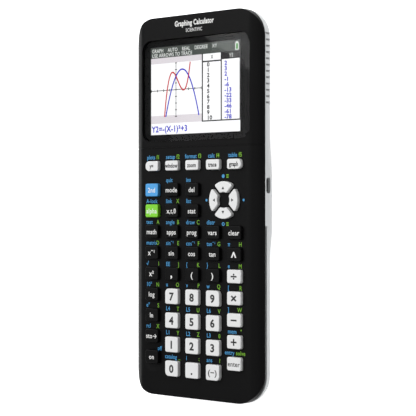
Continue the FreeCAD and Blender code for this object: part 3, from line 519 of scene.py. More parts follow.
@dataclass(frozen=True)
class Ink(Finish):
    """A printed film of ink over plastic."""

    colour: Colour
    under: Colour

    def mix(self, tree: Tree, shader: Node, where: Socket) -> None:
        """Wire a cover that shows a little of the plastic between its specks."""
        group = group_of("printed_ink", {"Vector": None, "Specks": 9000.0}, ("Cover", "Height"), wire_ink)
        film = self.placed(tree, group, where, Specks=9000.0)
        showing = tuple(0.75 * a + 0.25 * b for a, b in zip(self.colour, self.under))
        self.paint(tree, shader, film.outputs["Cover"], showing, self.colour)
        self.shine(tree, shader, film.outputs["Cover"], 0.0, 1.0, 0.65, 0.5)
        set_inputs(shader, {"Specular IOR Level": 0.35})
        self.emboss(tree, shader, film.outputs["Height"], 0.000004)


@dataclass(frozen=True)
class Lit(Finish):
    """A colour shown by the lit display, in its grid of small square cells."""

    colour: Colour
    strength: float = 1.0
    pitch: float = 0.1834 * MM

    def mix(self, tree: Tree, shader: Node, where: Socket) -> None:
        """Wire the light, dimmed along the lines between the cells."""
        group = group_of("display_cells", {"Vector": None, "Pitch": 0.0002}, ("Line",), wire_cells)
        cells = self.placed(tree, group, where, Pitch=self.pitch)
        dimmed = tuple(0.86 * c for c in self.colour)
        glow = blend_colours(tree, cells.outputs["Line"], self.colour, dimmed)
        tree.links.new(glow, shader.inputs["Emission Color"])
        set_inputs(shader, {"Emission Strength": self.strength, "Base Color": (0.004, 0.004, 0.004, 1.0),
                            "Specular IOR Level": 0.04})
        self.shine(tree, shader, cells.outputs["Line"], 0.0, 1.0, 0.3, 0.6)


@dataclass(frozen=True)
class Lens(Finish):
    """Clear acrylic with a coating that takes away most of its reflection."""

    roughness: float = 0.02

    def mix(self, tree: Tree, shader: Node, where: Socket) -> None:
        """Wire the clear body with a trace of dust in its shine."""
        haze = noise(tree, where, 220.0, 6.0)
        smear = noise(tree, where, 30.0, 2.0)
        both = maths(tree, "MULTIPLY", haze.outputs[0], smear.outputs[0])
        self.shine(tree, shader, both, 0.2, 0.5, self.roughness, self.roughness + 0.03)
        self.paint(tree, shader, both, (0.97, 0.98, 0.98), (1.0, 1.0, 1.0))
        set_inputs(shader, {"Transmission Weight": 1.0, "IOR": 1.22, "Specular IOR Level": 0.14})


@dataclass(frozen=True)
class Rubber(Finish):
    """Moulded elastomer, matt and slightly dusty."""

    colour: Colour
    roughness: float = 0.75

    def mix(self, tree: Tree, shader: Node, where: Socket) -> None:
        """Wire a coarse soft grain and patches of dust."""
        grain = self.placed(tree, grain_group(), where, Grain=2200.0, Drift=160.0)
        dusty = tuple(0.85 * c + 0.03 for c in self.colour)
        self.paint(tree, shader, grain.outputs["Tone"], self.colour, dusty)
        self.shine(tree, shader, grain.outputs["Speckle"], 0.0, 1.0, self.roughness - 0.1, self.roughness + 0.1)
        set_inputs(shader, {"Specular IOR Level": 0.3})
        self.emboss(tree, shader, grain.outputs["Height"], 0.00002)


@dataclass(frozen=True)
class Plated(Finish):
    """Zinc-plated steel with turning marks."""

    colour: Colour = (0.62, 0.63, 0.64)

    def mix(self, tree: Tree, shader: Node, where: Socket) -> None:
        """Wire bright metal with a drift of dull plating."""
        patches = noise(tree, where, 900.0, 4.0)
        marks = noise(tree, where, 6000.0, 2.0)
        dull = tuple(0.7 * c for c in self.colour)
        self.paint(tree, shader, patches.outputs[0], dull, self.colour)
        self.shine(tree, shader, patches.outputs[0], 0.3, 0.7, 0.22, 0.42)
        set_inputs(shader, {"Metallic": 1.0})
        self.emboss(tree, shader, marks.outputs[0], 0.000006)


@dataclass(frozen=True)
class SolderMask(Finish):
    """A circuit board's green mask over copper tracks, with a metal socket past its edge."""

    board_edge: float
    track: float = 1.1 * MM

    def mix(self, tree: Tree, shader: Node, where: Socket) -> None:
        """Wire tracks that run along the board, pads between them, and bare metal beyond the board's edge."""
        bricks = tree.nodes.new("ShaderNodeTexBrick")
        set_inputs(bricks, {"Scale": 1.0 / (8 * self.track), "Mortar Size": 0.035,
                            "Color1": (0.006, 0.085, 0.035, 1.0), "Color2": (0.008, 0.11, 0.045, 1.0),
                            "Mortar": (0.02, 0.20, 0.07, 1.0)})
        tree.links.new(where, bricks.inputs["Vector"])
        split = tree.nodes.new("ShaderNodeSeparateXYZ")
        tree.links.new(where, split.inputs[0])
        metal = maths(tree, "GREATER_THAN", split.outputs["X"], self.board_edge)
        worn = noise(tree, where, 2500.0, 3.0)
        steel = blend_colours(tree, worn.outputs[0], (0.012, 0.012, 0.013), (0.03, 0.03, 0.031))
        self.paint(tree, shader, metal, bricks.outputs["Color"], steel)
        tree.links.new(metal, shader.inputs["Metallic"])
        self.shine(tree, shader, worn.outputs[0], 0.3, 0.7, 0.25, 0.4)
        self.emboss(tree, shader, bricks.outputs["Fac"], 0.00002)


@dataclass(frozen=True)
class Foil(Finish):
    """The crinkled laminate of a flat battery."""

    colour: Colour = (0.35, 0.36, 0.38)

    def mix(self, tree: Tree, shader: Node, where: Socket) -> None:
        """Wire long soft creases over a dull metal."""
        creases = noise(tree, where, 130.0, 6.0, 0.6)
        dull = tuple(0.75 * c for c in self.colour)
        self.paint(tree, shader, creases.outputs[0], dull, self.colour)
        self.shine(tree, shader, creases.outputs[0], 0.3, 0.7, 0.3, 0.55)
        set_inputs(shader, {"Metallic": 0.8})
        self.emboss(tree, shader, creases.outputs[0], 0.0002)


@dataclass(frozen=True)
class Ground(Finish):
    """The pale floor, softly lit from within, which shows only from above."""

    colour: Colour = (0.93, 0.93, 0.93)
    glow: float = 0.62

    def mix(self, tree: Tree, shader: Node, where: Socket) -> None:
        """Wire an almost even pale surface that is clear from below."""
        drift = noise(tree, where, 3.0, 2.0)
        paler = tuple(min(c + 0.02, 1.0) for c in self.colour)
        self.paint(tree, shader, drift.outputs[0], self.colour, paler)
        self.shine(tree, shader, drift.outputs[0], 0.0, 1.0, 0.85, 0.95)
        set_inputs(shader, {"Specular IOR Level": 0.1, "Emission Color": (1.0, 1.0, 1.0, 1.0),
                            "Emission Strength": self.glow})
        clear = tree.nodes.new("ShaderNodeBsdfTransparent")
        side = tree.nodes.new("ShaderNodeNewGeometry")
        choice = tree.nodes.new("ShaderNodeMixShader")
        tree.links.new(side.outputs["Backfacing"], choice.inputs[0])
        tree.links.new(shader.outputs[0], choice.inputs[1])
        tree.links.new(clear.outputs[0], choice.inputs[2])
        tree.links.new(choice.outputs[0], tree.nodes["Material Output"].inputs["Surface"])


FRONT_PLASTIC = Moulded("front_black_plastic", (0.0036, 0.0036, 0.0038), 0.42, variation=0.15, specular=0.07)
# The rear cover's finish holds painted shade inside its grip grooves.
REAR_PLASTIC = Gripped("rear_grey_plastic", (0.54, 0.555, 0.56), 0.42, grain=3200.0, variation=0.02)
KEY_WHITE = Moulded("key_white_plastic", (0.74, 0.745, 0.745), 0.40, depth=0.000006, variation=0.015)
KEY_BLACK = Moulded("key_black_plastic", (0.0036, 0.0036, 0.0038), 0.42, depth=0.000008, variation=0.12,
                    specular=0.08)
KEY_BLUE = Moulded("key_blue_plastic", (0.055, 0.33, 0.72), 0.40, depth=0.000006, variation=0.04)
KEY_GREEN = Moulded("key_green_plastic", (0.19, 0.62, 0.012), 0.40, depth=0.000006, variation=0.04)
INK_WHITE = Ink("ink_white", (0.80, 0.80, 0.79), (0.01, 0.01, 0.01))
INK_BLACK = Ink("ink_black", (0.012, 0.012, 0.014), (0.78, 0.78, 0.77))
INK_BLUE = Ink("ink_blue", (0.055, 0.30, 0.60), (0.01, 0.01, 0.01))
INK_GREEN = Ink("ink_green", (0.17, 0.42, 0.015), (0.01, 0.01, 0.01))
LENS_BLACK = Moulded("lens_border_black", (0.0036, 0.0036, 0.004), 0.5, depth=0.000004, specular=0.07)
CLEAR_LENS = Lens("lens_acrylic")
PANEL_BLACK = Moulded("display_module_black", (0.012, 0.012, 0.013), 0.30, grain=2500.0, depth=0.000004)
LIT_WHITE = Lit("lit_white", (0.98, 0.98, 0.99), 1.12)
LIT_STATUS = Lit("lit_status_grey", (0.070, 0.082, 0.074))
LIT_BAND = Lit("lit_band_pink", (0.80, 0.75, 0.79))
LIT_BLACK = Lit("lit_black", (0.004, 0.004, 0.005))
LIT_GREY = Lit("lit_axis_grey", (0.03, 0.03, 0.03))
LIT_RED = Lit("lit_red", (0.62, 0.018, 0.03))
LIT_BLUE = Lit("lit_blue", (0.018, 0.018, 0.60))
LIT_GREEN = Lit("lit_green", (0.005, 0.28, 0.01))
LIT_PALE = Lit("lit_pale", (0.80, 0.83, 0.80))
MAT_RUBBER = Rubber("key_mat_silicone", (0.30, 0.31, 0.32), 0.6)
FOOT_RUBBER = Rubber("foot_rubber", (0.035, 0.035, 0.037))
SCREW_STEEL = Plated("screw_steel")
BATTERY_FOIL = Foil("battery_foil")
FLOOR = Ground("floor_pale")


# ----------------------------------------------------------------- dressing


def dress(piece: Piece, finish: Finish, body: str) -> Piece:
    """Give a new piece its finish and the body that it rides on.

    Args:
        piece: the piece, in place.
        finish: its finish.
        body: the body that carries it.

    Returns:
        The same piece.
    """
    piece.data.materials.clear()
    piece.data.materials.append(finish.material())
    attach(piece, body)
    LOG.info("%s: %s on %s, %d faces", piece.name, finish.name, body, len(piece.data.polygons))
    return piece


def cover_node(node: str, finish: Finish) -> None:
    """Give a node of the frame its finish.

    Args:
        node: the node's name.
        finish: its finish.
    """
    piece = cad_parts[node]
    for place in piece.material_slots:
        place.material = finish.material()
    LOG.info("%s: %s", node, finish.name)


# ----------------------------------------------------------------- lettering


class Align(Enum):
    """Which point of a word is put at its place."""

    LEFT = "LEFT"
    CENTRE = "CENTER"
    RIGHT = "RIGHT"


@dataclass(frozen=True)
class Lettering:
    """A size and weight of plain sans-serif lettering."""

    size: float
    condense: float = 0.80
    weight: float = 0.016
    film: float = 0.010 * MM
    resolution: int = 3
    spacing: float = 1.06

    def draw(self, words: str, place: Vector, align: Align = Align.CENTRE) -> Piece:
        """Set words as a thin closed film.

        Args:
            words: what is set.
            place: the middle of the capitals' height, at the aligned end.
            align: which end or middle is at the place.

        Returns:
            The film, settled.
        """
        word = self.letter_pi() if words == "π" else self.set_type(words.replace("θ", "0"), align)
        if words.endswith("θ"):
            word = self.cross_last(word)
        word.scale = (self.size * self.condense, self.size, 2 * self.film)
        capital = 0.36 * self.size
        word.location = place - Vector((0.0, capital, 0.0))
        settle(word)
        return word

    def set_type(self, words: str, align: Align) -> Piece:
        """Set words at a size of one, a unit thick.

        Args:
            words: what is set.
            align: which end or middle is at the origin.

        Returns:
            Their closed mesh.
        """
        clear_selection()
        bpy.ops.object.text_add(location=(0.0, 0.0, 0.0))
        word = bpy.context.object
        word.data.body = words
        word.data.align_x = align.value
        word.data.offset = self.weight
        word.data.space_character = self.spacing
        word.data.extrude = 0.5
        word.data.resolution_u = self.resolution
        bpy.ops.object.convert(target="MESH")
        word = bpy.context.object
        close_up(word, TYPE_MERGE)
        return word

    def stroke(self, left: float, foot: float, right: float, top: float) -> Piece:
        """Model one straight stroke of a letter at a size of one."""
        return slab("stroke", Vector((left, foot, -0.5)), Vector((right, top, 0.5)))

    def letter_pi(self) -> Piece:
        """Model the Greek letter as two legs under a bar."""
        bar_foot = 0.40 - self.weight
        legs = [self.stroke(x - self.weight, 0.0, x + 0.08 + self.weight, bar_foot) for x in (0.12, 0.36)]
        return join("pi", [self.stroke(0.0, bar_foot, 0.56, 0.48 + self.weight), *legs])

    def cross_last(self, word: Piece) -> Piece:
        """Put a bar through a word's last letter, which turns a nought into a theta.

        Args:
            word: the word, at a size of one.

        Returns:
            The word with its bar.
        """
        right = max(point.co.x for point in word.data.vertices)
        bar = self.stroke(right - 0.40, 0.305 - self.weight / 2, right - 0.04, 0.375 + self.weight / 2)
        return join(word.name, [word, bar])


def width_of(piece: Piece) -> float:
    """Return how wide a settled piece is, along X."""
    across = [point.co.x for point in piece.data.vertices]
    return max(across) - min(across)


def shift(piece: Piece, by: Vector) -> None:
    """Move a settled piece."""
    piece.location = by
    settle(piece)


def triangle(name: str, place: Vector, radius: float, turn: float, film: float) -> Piece:
    """Model a small printed triangle with softened corners.

    Args:
        name: its name.
        place: its centre.
        radius: from its centre to a corner.
        turn: the direction that it points in, from +X towards +Y.
        film: half its thickness.

    Returns:
        The triangle, settled.
    """
    clear_selection()
    bpy.ops.mesh.primitive_cylinder_add(vertices=3, radius=radius, depth=2 * film)
    mark = bpy.context.object
    name_piece(mark, name)
    first = mark.data.vertices[0].co
    mark.rotation_euler = (0.0, 0.0, turn - math.atan2(first.y, first.x))
    mark.location = place
    settle(mark)
    bevel_edges(mark, stands, radius * 0.12, 2)
    return mark


# -------------------------------------------------------------------- keypad


class Style(Enum):
    """How a key's own legend is set."""

    WORD = Lettering(3.40 * MM, 0.97, 0.014)
    SHORT = Lettering(3.90 * MM, 0.95, 0.014)
    SMALL = Lettering(2.95 * MM, 0.82, 0.036)
    DIGIT = Lettering(5.35 * MM, 1.08, 0.036)
    SIGN = Lettering(6.60 * MM, 1.10, 0.018)
    TIMES = Lettering(6.00 * MM, 1.20, 0.026)
    BRACKET = Lettering(3.90 * MM, 1.20, 0.020)


class Pair(Enum):
    """How the two legends above a key are spread."""

    APART = "apart"
    TOGETHER = "together"


@dataclass(frozen=True)
class Legend:
    """What is printed on a key, and above it on the cover."""

    key: str
    words: str
    second: str = ""
    third: str = ""
    style: Style = Style.WORD
    pair: Pair = Pair.APART
    drop: float = 0.0


LEGENDS: tuple[Legend, ...] = (
    Legend("y_equals", "y=", "plots", "f1", Style.SMALL, Pair.TOGETHER),
    Legend("window", "window", "setup", "f2", Style.SMALL, Pair.TOGETHER),
    Legend("zoom", "zoom", "format", "f3", Style.SMALL, Pair.TOGETHER),
    Legend("trace", "trace", "calc", "f4", Style.SMALL, Pair.TOGETHER),
    Legend("graph", "graph", "table", "f5", Style.SMALL, Pair.TOGETHER),
    Legend("second", "2nd"),
    Legend("mode", "mode", "quit"),
    Legend("delete", "del", "ins"),
    Legend("alpha", "alpha", "A-lock"),
    Legend("variable", "x,t,θ", "link", "X"),
    Legend("stat", "stat", "list"),
    Legend("math", "math", "test", "A"),
    Legend("apps", "apps", "angle", "B"),
    Legend("program", "prog", "draw", "C"),
    Legend("vars", "vars", "distr"),
    Legend("clear", "clear"),
    Legend("reciprocal", "x⁻¹", "matrix", "D", Style.SHORT),
    Legend("sin", "sin", "sin⁻¹", "E"),
    Legend("cos", "cos", "cos⁻¹", "F"),
    Legend("tan", "tan", "tan⁻¹", "G"),
    Legend("power", "^", "π", "H", Style.SIGN, drop=0.9 * MM),
    Legend("square", "x²", "√", "I", Style.SHORT),
    Legend("comma", ",", "EE", "J", Style.DIGIT, drop=-0.4 * MM),
    Legend("open_bracket", "(", "{", "K", Style.BRACKET),
    Legend("close_bracket", ")", "}", "L", Style.BRACKET),
    Legend("divide", "÷", "e", "M", Style.SIGN),
    Legend("log", "log", "10ˣ", "N"),
    Legend("digit_7", "7", "u", "O", Style.DIGIT),
    Legend("digit_8", "8", "v", "P", Style.DIGIT),
    Legend("digit_9", "9", "w", "Q", Style.DIGIT),
    Legend("multiply", "×", "[", "R", Style.TIMES),
    Legend("ln", "ln", "eˣ", "S"),
    Legend("digit_4", "4", "L4", "T", Style.DIGIT),
    Legend("digit_5", "5", "L5", "U", Style.DIGIT),
    Legend("digit_6", "6", "L6", "V", Style.DIGIT),
    Legend("minus", "−", "]", "W", Style.SIGN),
    Legend("store", "sto→", "rcl", "X"),
    Legend("digit_1", "1", "L1", "Y", Style.DIGIT),
    Legend("digit_2", "2", "L2", "Z", Style.DIGIT),
    Legend("digit_3", "3", "L3", "θ", Style.DIGIT),
    Legend("plus", "+", "mem", "\"", Style.SIGN),
    Legend("on", "on"),
    Legend("digit_0", "0", "catalog", "_", Style.DIGIT, Pair.TOGETHER),
    Legend("decimal", ".", "i", ":", Style.DIGIT),
    Legend("negative", "(−)", "ans", "?", Style.BRACKET),
    Legend("enter", "enter", "entry", "solve", pair=Pair.TOGETHER),
)


@dataclass
class Keypad:
    """The keys' finishes, the legends on them, and the legends printed above them."""

    print_style: Lettering = Lettering(3.00 * MM, 0.90, 0.012)
    left_overhang: float = 0.9 * MM
    right_inset: float = 0.6 * MM
    pair_gap: float = 1.0 * MM
    pair_shift: float = -0.6 * MM
    flange: float = 0.8 * MM
    above_low_key: float = 1.75 * MM
    above_tall_key: float = 2.05 * MM
    tall_key: float = 7.0 * MM
    arrow_reach: float = 5.7 * MM
    arrow_size: float = 0.95 * MM
    mark_reach: float = 11.6 * MM
    dot_radius: float = 0.62 * MM
    screen_radius: float = 0.9 * MM
    dot_sides: int = 20
    blue_aside: float = -1.3 * MM
    green_aside: float = 1.4 * MM
    bar_length: float = 1.4 * MM
    bar_width: float = 0.384 * MM
    bar_step: float = 0.66 * MM
    off_aside: float = 3.9 * MM
    off_above: float = 4.4 * MM
    printed: dict[str, list[Piece]] = field(default_factory=lambda: {"blue": [], "green": []})
    slots: dict[str, str] = field(init=False)

    INKS = {"key_white": (INK_BLACK, "key_black"), "key_black": (INK_WHITE, "key_white"),
            "key_blue": (INK_WHITE, "key_white"), "key_green": (INK_WHITE, "key_white")}
    PLASTICS = {"key_white": KEY_WHITE, "key_black": KEY_BLACK, "key_blue": KEY_BLUE, "key_green": KEY_GREEN}

    def build(self) -> None:
        """Finish every key and print every legend."""
        self.slots = {node: piece.material_slots[0].name.split(".")[0]
                      for node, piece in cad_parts.items() if node.startswith("key_") and node != "key_mat"}
        for node, slot in self.slots.items():
            cover_node(node, self.PLASTICS[slot])
        for legend in LEGENDS:
            self.print_key(legend)
            self.print_above(legend)
        self.print_arrows()
        self.print_beside()
        self.finish_prints()

    def face(self, node: str) -> tuple[Vector, Vector]:
        """Measure the part of a key that stands out of the cover.

        Args:
            node: the key's node.

        Returns:
            Its lowest and highest corners.
        """
        low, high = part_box(node)
        edge = Vector((self.flange, self.flange, 0.0))
        return low + edge, high - edge

    def print_key(self, legend: Legend) -> None:
        """Print a key's own legend on its top.

        Args:
            legend: what is printed, and on which key.
        """
        node = f"key_{legend.key}"
        low, high = self.face(node)
        place = Vector(((low.x + high.x) / 2, (low.y + high.y) / 2 - legend.drop, high.z + PRINT_LIFT))
        film = legend.style.value.draw(legend.words, place)
        finish, slot = self.INKS[self.slots[node]]
        dress(join(f"{legend.key}_legend", [film]), finish, f"{legend.key}_key")

    def print_above(self, legend: Legend) -> None:
        """Print the blue and green legends above a key, on the cover.

        Args:
            legend: what is printed, and above which key.
        """
        low, high = self.face(f"key_{legend.key}")
        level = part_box("front_cover")[1].z + PRINT_LIFT
        tall = high.y - low.y > self.tall_key or legend.pair is Pair.TOGETHER
        line = high.y + (self.above_tall_key if tall else self.above_low_key)
        if legend.second:
            self.printed["blue"].append(self.print_style.draw(
                legend.second, Vector((low.x - self.left_overhang, line, level)), Align.LEFT))
        if legend.third:
            self.printed["green"].append(self.print_style.draw(
                legend.third, Vector((high.x - self.right_inset, line, level)), Align.RIGHT))
        if legend.pair is Pair.TOGETHER:
            self.close_pair((low.x + high.x) / 2 + self.pair_shift)

    def close_pair(self, middle: float) -> None:
        """Centre the last blue and green legends together.

        Args:
            middle: where their common middle is put, along X.
        """
        blue, green = self.printed["blue"][-1], self.printed["green"][-1]
        whole = width_of(blue) + self.pair_gap + width_of(green)
        blue_left = min(point.co.x for point in blue.data.vertices)
        green_right = max(point.co.x for point in green.data.vertices)
        shift(blue, Vector((middle - whole / 2 - blue_left, 0.0, 0.0)))
        shift(green, Vector((middle + whole / 2 - green_right, 0.0, 0.0)))

    def ring_middle(self) -> Vector:
        """Return the middle of the four arrow keys, at the height of their tops."""
        up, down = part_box("key_up"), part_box("key_down")
        return Vector(((up[0].x + up[1].x) / 2, (up[1].y + down[0].y) / 2, up[1].z))

    def print_arrows(self) -> None:
        """Print a triangle on each arrow key, pointing outwards."""
        middle = self.ring_middle() + Vector((0.0, 0.0, PRINT_LIFT))
        for i, name in enumerate(("right", "up", "left", "down")):
            turn = i * math.pi / 2
            place = middle + self.arrow_reach * Vector((math.cos(turn), math.sin(turn), 0.0))
            mark = triangle(f"{name}_legend", place, self.arrow_size, turn, self.print_style.film)
            dress(mark, INK_BLACK, f"{name}_key")

    def disc(self, place: Vector, radius: float, hollow: bool) -> Piece:
        """Model a printed dot, or a printed ring.

        Args:
            place: its centre.
            radius: its outer radius.
            hollow: whether it is a ring.

        Returns:
            The dot or ring, settled.
        """
        discs = []
        for size, thickness in ((radius, 2), (0.5 * radius, 8))[:1 + hollow]:
            clear_selection()
            bpy.ops.mesh.primitive_cylinder_add(vertices=self.dot_sides, radius=size,
                                                depth=thickness * self.print_style.film, location=place)
            discs.append(bpy.context.object)
            settle(discs[-1])
        if hollow:
            subtract(*discs)
        return discs[0]

    def print_beside(self) -> None:
        """Print the marks round the arrow keys and the word beside the on key."""
        middle = self.ring_middle()
        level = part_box("front_cover")[1].z + PRINT_LIFT
        reach = self.mark_reach
        places = ((self.blue_aside, reach, self.screen_radius, False),
                  (self.blue_aside, -reach, self.screen_radius, True),
                  (-reach - 0.6 * MM, 0.0, self.dot_radius, False), (reach, 0.0, self.dot_radius, False))
        for x, y, radius, hollow in places:
            self.printed["blue"].append(self.disc(Vector((middle.x + x, middle.y + y, level)), radius, hollow))
        half = Vector((self.bar_length / 2, self.bar_width / 2, self.print_style.film))
        for sign in (1, -1):
            for step in (-self.bar_step, 0.0, self.bar_step):
                place = Vector((middle.x + self.green_aside, middle.y + sign * reach + step, level))
                self.printed["green"].append(slab("bar", place - half, place + half))
        low, high = self.face("key_on")
        place = Vector(((low.x + high.x) / 2 + self.off_aside, (low.y + high.y) / 2 + self.off_above, level))
        self.printed["blue"].append(self.print_style.draw("off", place))

    def finish_prints(self) -> None:
        """Join the legends of each ink, lay them on the cover and dress them."""
        for colour, finish in (("blue", INK_BLUE), ("green", INK_GREEN)):
            sheet = join(f"cover_legends_{colour}", self.printed[colour])
            lay_on(sheet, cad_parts["front_cover"])
            dress(sheet, finish, "case")


def lay_on(piece: Piece, under: Piece) -> None:
    """Lower a print's points by as much as the surface under them lies below its highest level.

    Args:
        piece: the settled print, drawn at the surface's highest level.
        under: the node that it is printed on.
    """
    reach = 1.0 * MM
    top = max(corner[2] for corner in under.bound_box)
    for point in piece.data.vertices:
        start = Vector((point.co.x, point.co.y, top + reach))
        hit, place, _, _ = under.ray_cast(start, Vector((0.0, 0.0, -1.0)))
        if hit and top - place.z < reach:
            point.co.z += place.z - top
    piece.data.update()


# ------------------------------------------------------------------- display


@dataclass
class Display:
    """The lens, the black border behind it, and the picture on the lit panel."""

    frame_border: float = 3.2 * MM
    layer: float = 0.012 * MM
    border_film: float = 0.03 * MM
    border_gap: float = 0.25 * MM
    lens_corner: float = 5.8 * MM
    status_height: float = 0.120
    bands: tuple[tuple[float, float], ...] = ((0.120, 0.185), (0.782, 0.872))
    graph_right: float = 0.590
    axis_x: float = 0.290
    axis_y: float = 0.495
    unit_x: float = 0.0715
    unit_y: float = 0.0760
    reach: int = 4
    axis_line: float = 0.0038
    mark_line: tuple[float, float] = (0.0040, 0.0048)
    mark_length: tuple[float, float] = (0.0110, 0.014)
    table_left: float = 0.595
    table_middle: float = 0.803
    table_top: float = 0.116
    header_foot: float = 0.197
    table_foot: float = 0.862
    header_line: float = 0.158
    header_x: float = 0.695
    header_y: float = 0.905
    column_x: float = 0.640
    column_y: float = 0.832
    rule: float = 0.0125
    row_gap: float = 0.012
    rows: int = 11
    formula_line: float = 0.935
    ribbon_radius: float = 0.36 * MM
    small_type: Lettering = Lettering(2.60 * MM, 0.90, 0.012)
    value_type: Lettering = Lettering(2.85 * MM, 1.15, 0.036)
    formula_type: Lettering = Lettering(4.2 * MM, 0.98, 0.026)
    low: Vector = field(init=False)
    high: Vector = field(init=False)
    base: float = field(init=False)

    def build(self) -> None:
        """Build the lens, its border and the picture."""
        low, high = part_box("display_module")
        edge = Vector((self.frame_border, self.frame_border, 0.0))
        self.low, self.high = low + edge, high - edge
        self.base = high.z
        cover_node("display_window", CLEAR_LENS)
        cover_node("display_module", PANEL_BLACK)
        self.lens_border()
        self.panel()
        self.graph()
        self.table()
        self.words()
        self.battery_mark()

    def at(self, across: float, down: float, layer: float = 0.0) -> Vector:
        """Find a point of the picture.

        Args:
            across: its distance from the lit area's left edge, as a share of the width.
            down: its distance from the top edge, as a share of the height.
            layer: the layer of the picture that it lies on.

        Returns:
            The point.
        """
        x = self.low.x + across * (self.high.x - self.low.x)
        y = self.high.y - down * (self.high.y - self.low.y)
        return Vector((x, y, self.base + layer * self.layer))

    def cell(self, name: str, left: float, top: float, right: float, foot: float, layer: int,
             radius: float = 0.0) -> Piece:
        """Model a flat rectangle of the picture.

        Args:
            name: its name.
            left: its left edge, as a share of the lit area.
            top: its top edge.
            right: its right edge.
            foot: its bottom edge.
            layer: the layer that it fills.
            radius: the radius of its corners, in metres.

        Returns:
            The rectangle.
        """
        return slab(name, self.at(left, foot, layer), self.at(right, top, layer + 1), radius, 4)

    def lens_border(self) -> None:
        """Print the black border on the back of the lens."""
        low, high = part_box("display_window")
        inset = Vector((0.1 * MM, 0.1 * MM, 0.0))
        border = slab("lens_border", Vector((low.x, low.y, low.z + 0.2 * self.border_film)) + inset,
                      Vector((high.x, high.y, low.z + self.border_film)) - inset, self.lens_corner, 10)
        gap = Vector((self.border_gap, self.border_gap, 0.0))
        hole_low, hole_high = self.low - gap, self.high + gap
        hole_low.z, hole_high.z = low.z - 1 * MM, low.z + 1 * MM
        hole = slab("hole", hole_low, hole_high)
        subtract(border, hole)
        dress(border, LENS_BLACK, "case")

    def panel(self) -> None:
        """Build the lit panel with its plain fields of colour."""
        dress(self.cell("picture_panel", 0.0, 0.0, 1.0, 1.0, 0), LIT_WHITE, "case")
        dress(self.cell("picture_status_bar", 0.0, 0.0, 1.0, self.status_height, 1), LIT_STATUS, "case")
        bands = [self.cell("band", 0.0, top, self.graph_right, foot, 1) for top, foot in self.bands]
        dress(join("picture_bands", bands), LIT_BAND, "case")

    def graph_point(self, x: float, y: float, layer: float) -> Vector:
        """Return where a point of the graph lies on the picture."""
        return self.at(self.axis_x + x * self.unit_x, self.axis_y - y * self.unit_y, layer)

    def curve(self, name: str, terms: tuple[float, float, float, float], start: float, end: float,
              finish: Finish) -> None:
        """Draw a cubic function as a ribbon along one exact Bezier segment.

        Args:
            name: the ribbon's name.
            terms: the function's terms, from the constant to the cube.
            start: where it starts, in x.
            end: where it ends.
            finish: its colour.
        """
        def value(x: float) -> float:
            return sum(term * x ** power for power, term in enumerate(terms))

        def slope(x: float) -> float:
            return sum(power * term * x ** (power - 1) for power, term in enumerate(terms) if power)

        third = (end - start) / 3
        clear_selection()
        bpy.ops.curve.primitive_bezier_curve_add(location=(0.0, 0.0, 0.0))
        line = bpy.context.object
        spline = line.data.splines[0]
        base = self.graph_point(0.0, 0.0, 0.0)
        for point, x, side in ((spline.bezier_points[0], start, 1), (spline.bezier_points[1], end, -1)):
            point.handle_left_type = point.handle_right_type = "FREE"
            here = self.graph_point(x, value(x), 0.0) - base
            ahead = self.graph_point(x + side * third, value(x) + side * third * slope(x), 0.0) - base
            point.co = here / MM
            point.handle_right = (ahead if side > 0 else 2 * here - ahead) / MM
            point.handle_left = (2 * here - ahead if side > 0 else ahead) / MM
        line.data.bevel_depth = self.ribbon_radius / MM
        line.data.bevel_resolution = 1
        line.data.resolution_u = 40
        line.data.use_fill_caps = True
        bpy.ops.object.convert(target="MESH")
        ribbon = bpy.context.object
        name_piece(ribbon, name)
        close_up(ribbon, TYPE_MERGE)
        ribbon.scale = (MM, MM, self.layer * MM / (2 * self.ribbon_radius))
        ribbon.location = base + Vector((0.0, 0.0, 3 * self.layer))
        settle(ribbon)
        dress(ribbon, finish, "case")

    def bar(self, right: int, down: int, half_width: float, half_height: float) -> Piece:
        """Model a bar of the axes.

        Args:
            right: how many units its middle lies right of the origin.
            down: how many units it lies below the origin.
            half_width: half its width, as a share of the lit area.
            half_height: half its height.

        Returns:
            The bar.
        """
        x = self.axis_x + right * self.unit_x
        y = self.axis_y + down * self.unit_y
        return self.cell("bar", x - half_width, y - half_height, x + half_width, y + half_height, 2)

    def graph(self) -> None:
        """Draw the axes with their marks, and the two curves."""
        bars = [self.bar(0, 0, self.reach * self.unit_x, self.axis_line),
                self.bar(0, 0, 0.75 * self.axis_line, self.reach * self.unit_y)]
        for i in range(-self.reach, self.reach + 1):
            bars.append(self.bar(i, 0, self.mark_line[0], self.mark_length[1]))
            bars.append(self.bar(0, i, self.mark_length[0], self.mark_line[1]))
        dress(join("picture_axes", bars), LIT_GREY, "case")
        self.curve("picture_curve_red", (2.0, -2.0, -1.0, 1.0), -1.845, 2.27, LIT_RED)
        self.curve("picture_curve_blue", (2.0, 2.0, -1.0, 0.0), 1 - math.sqrt(7), 1 + math.sqrt(7), LIT_BLUE)

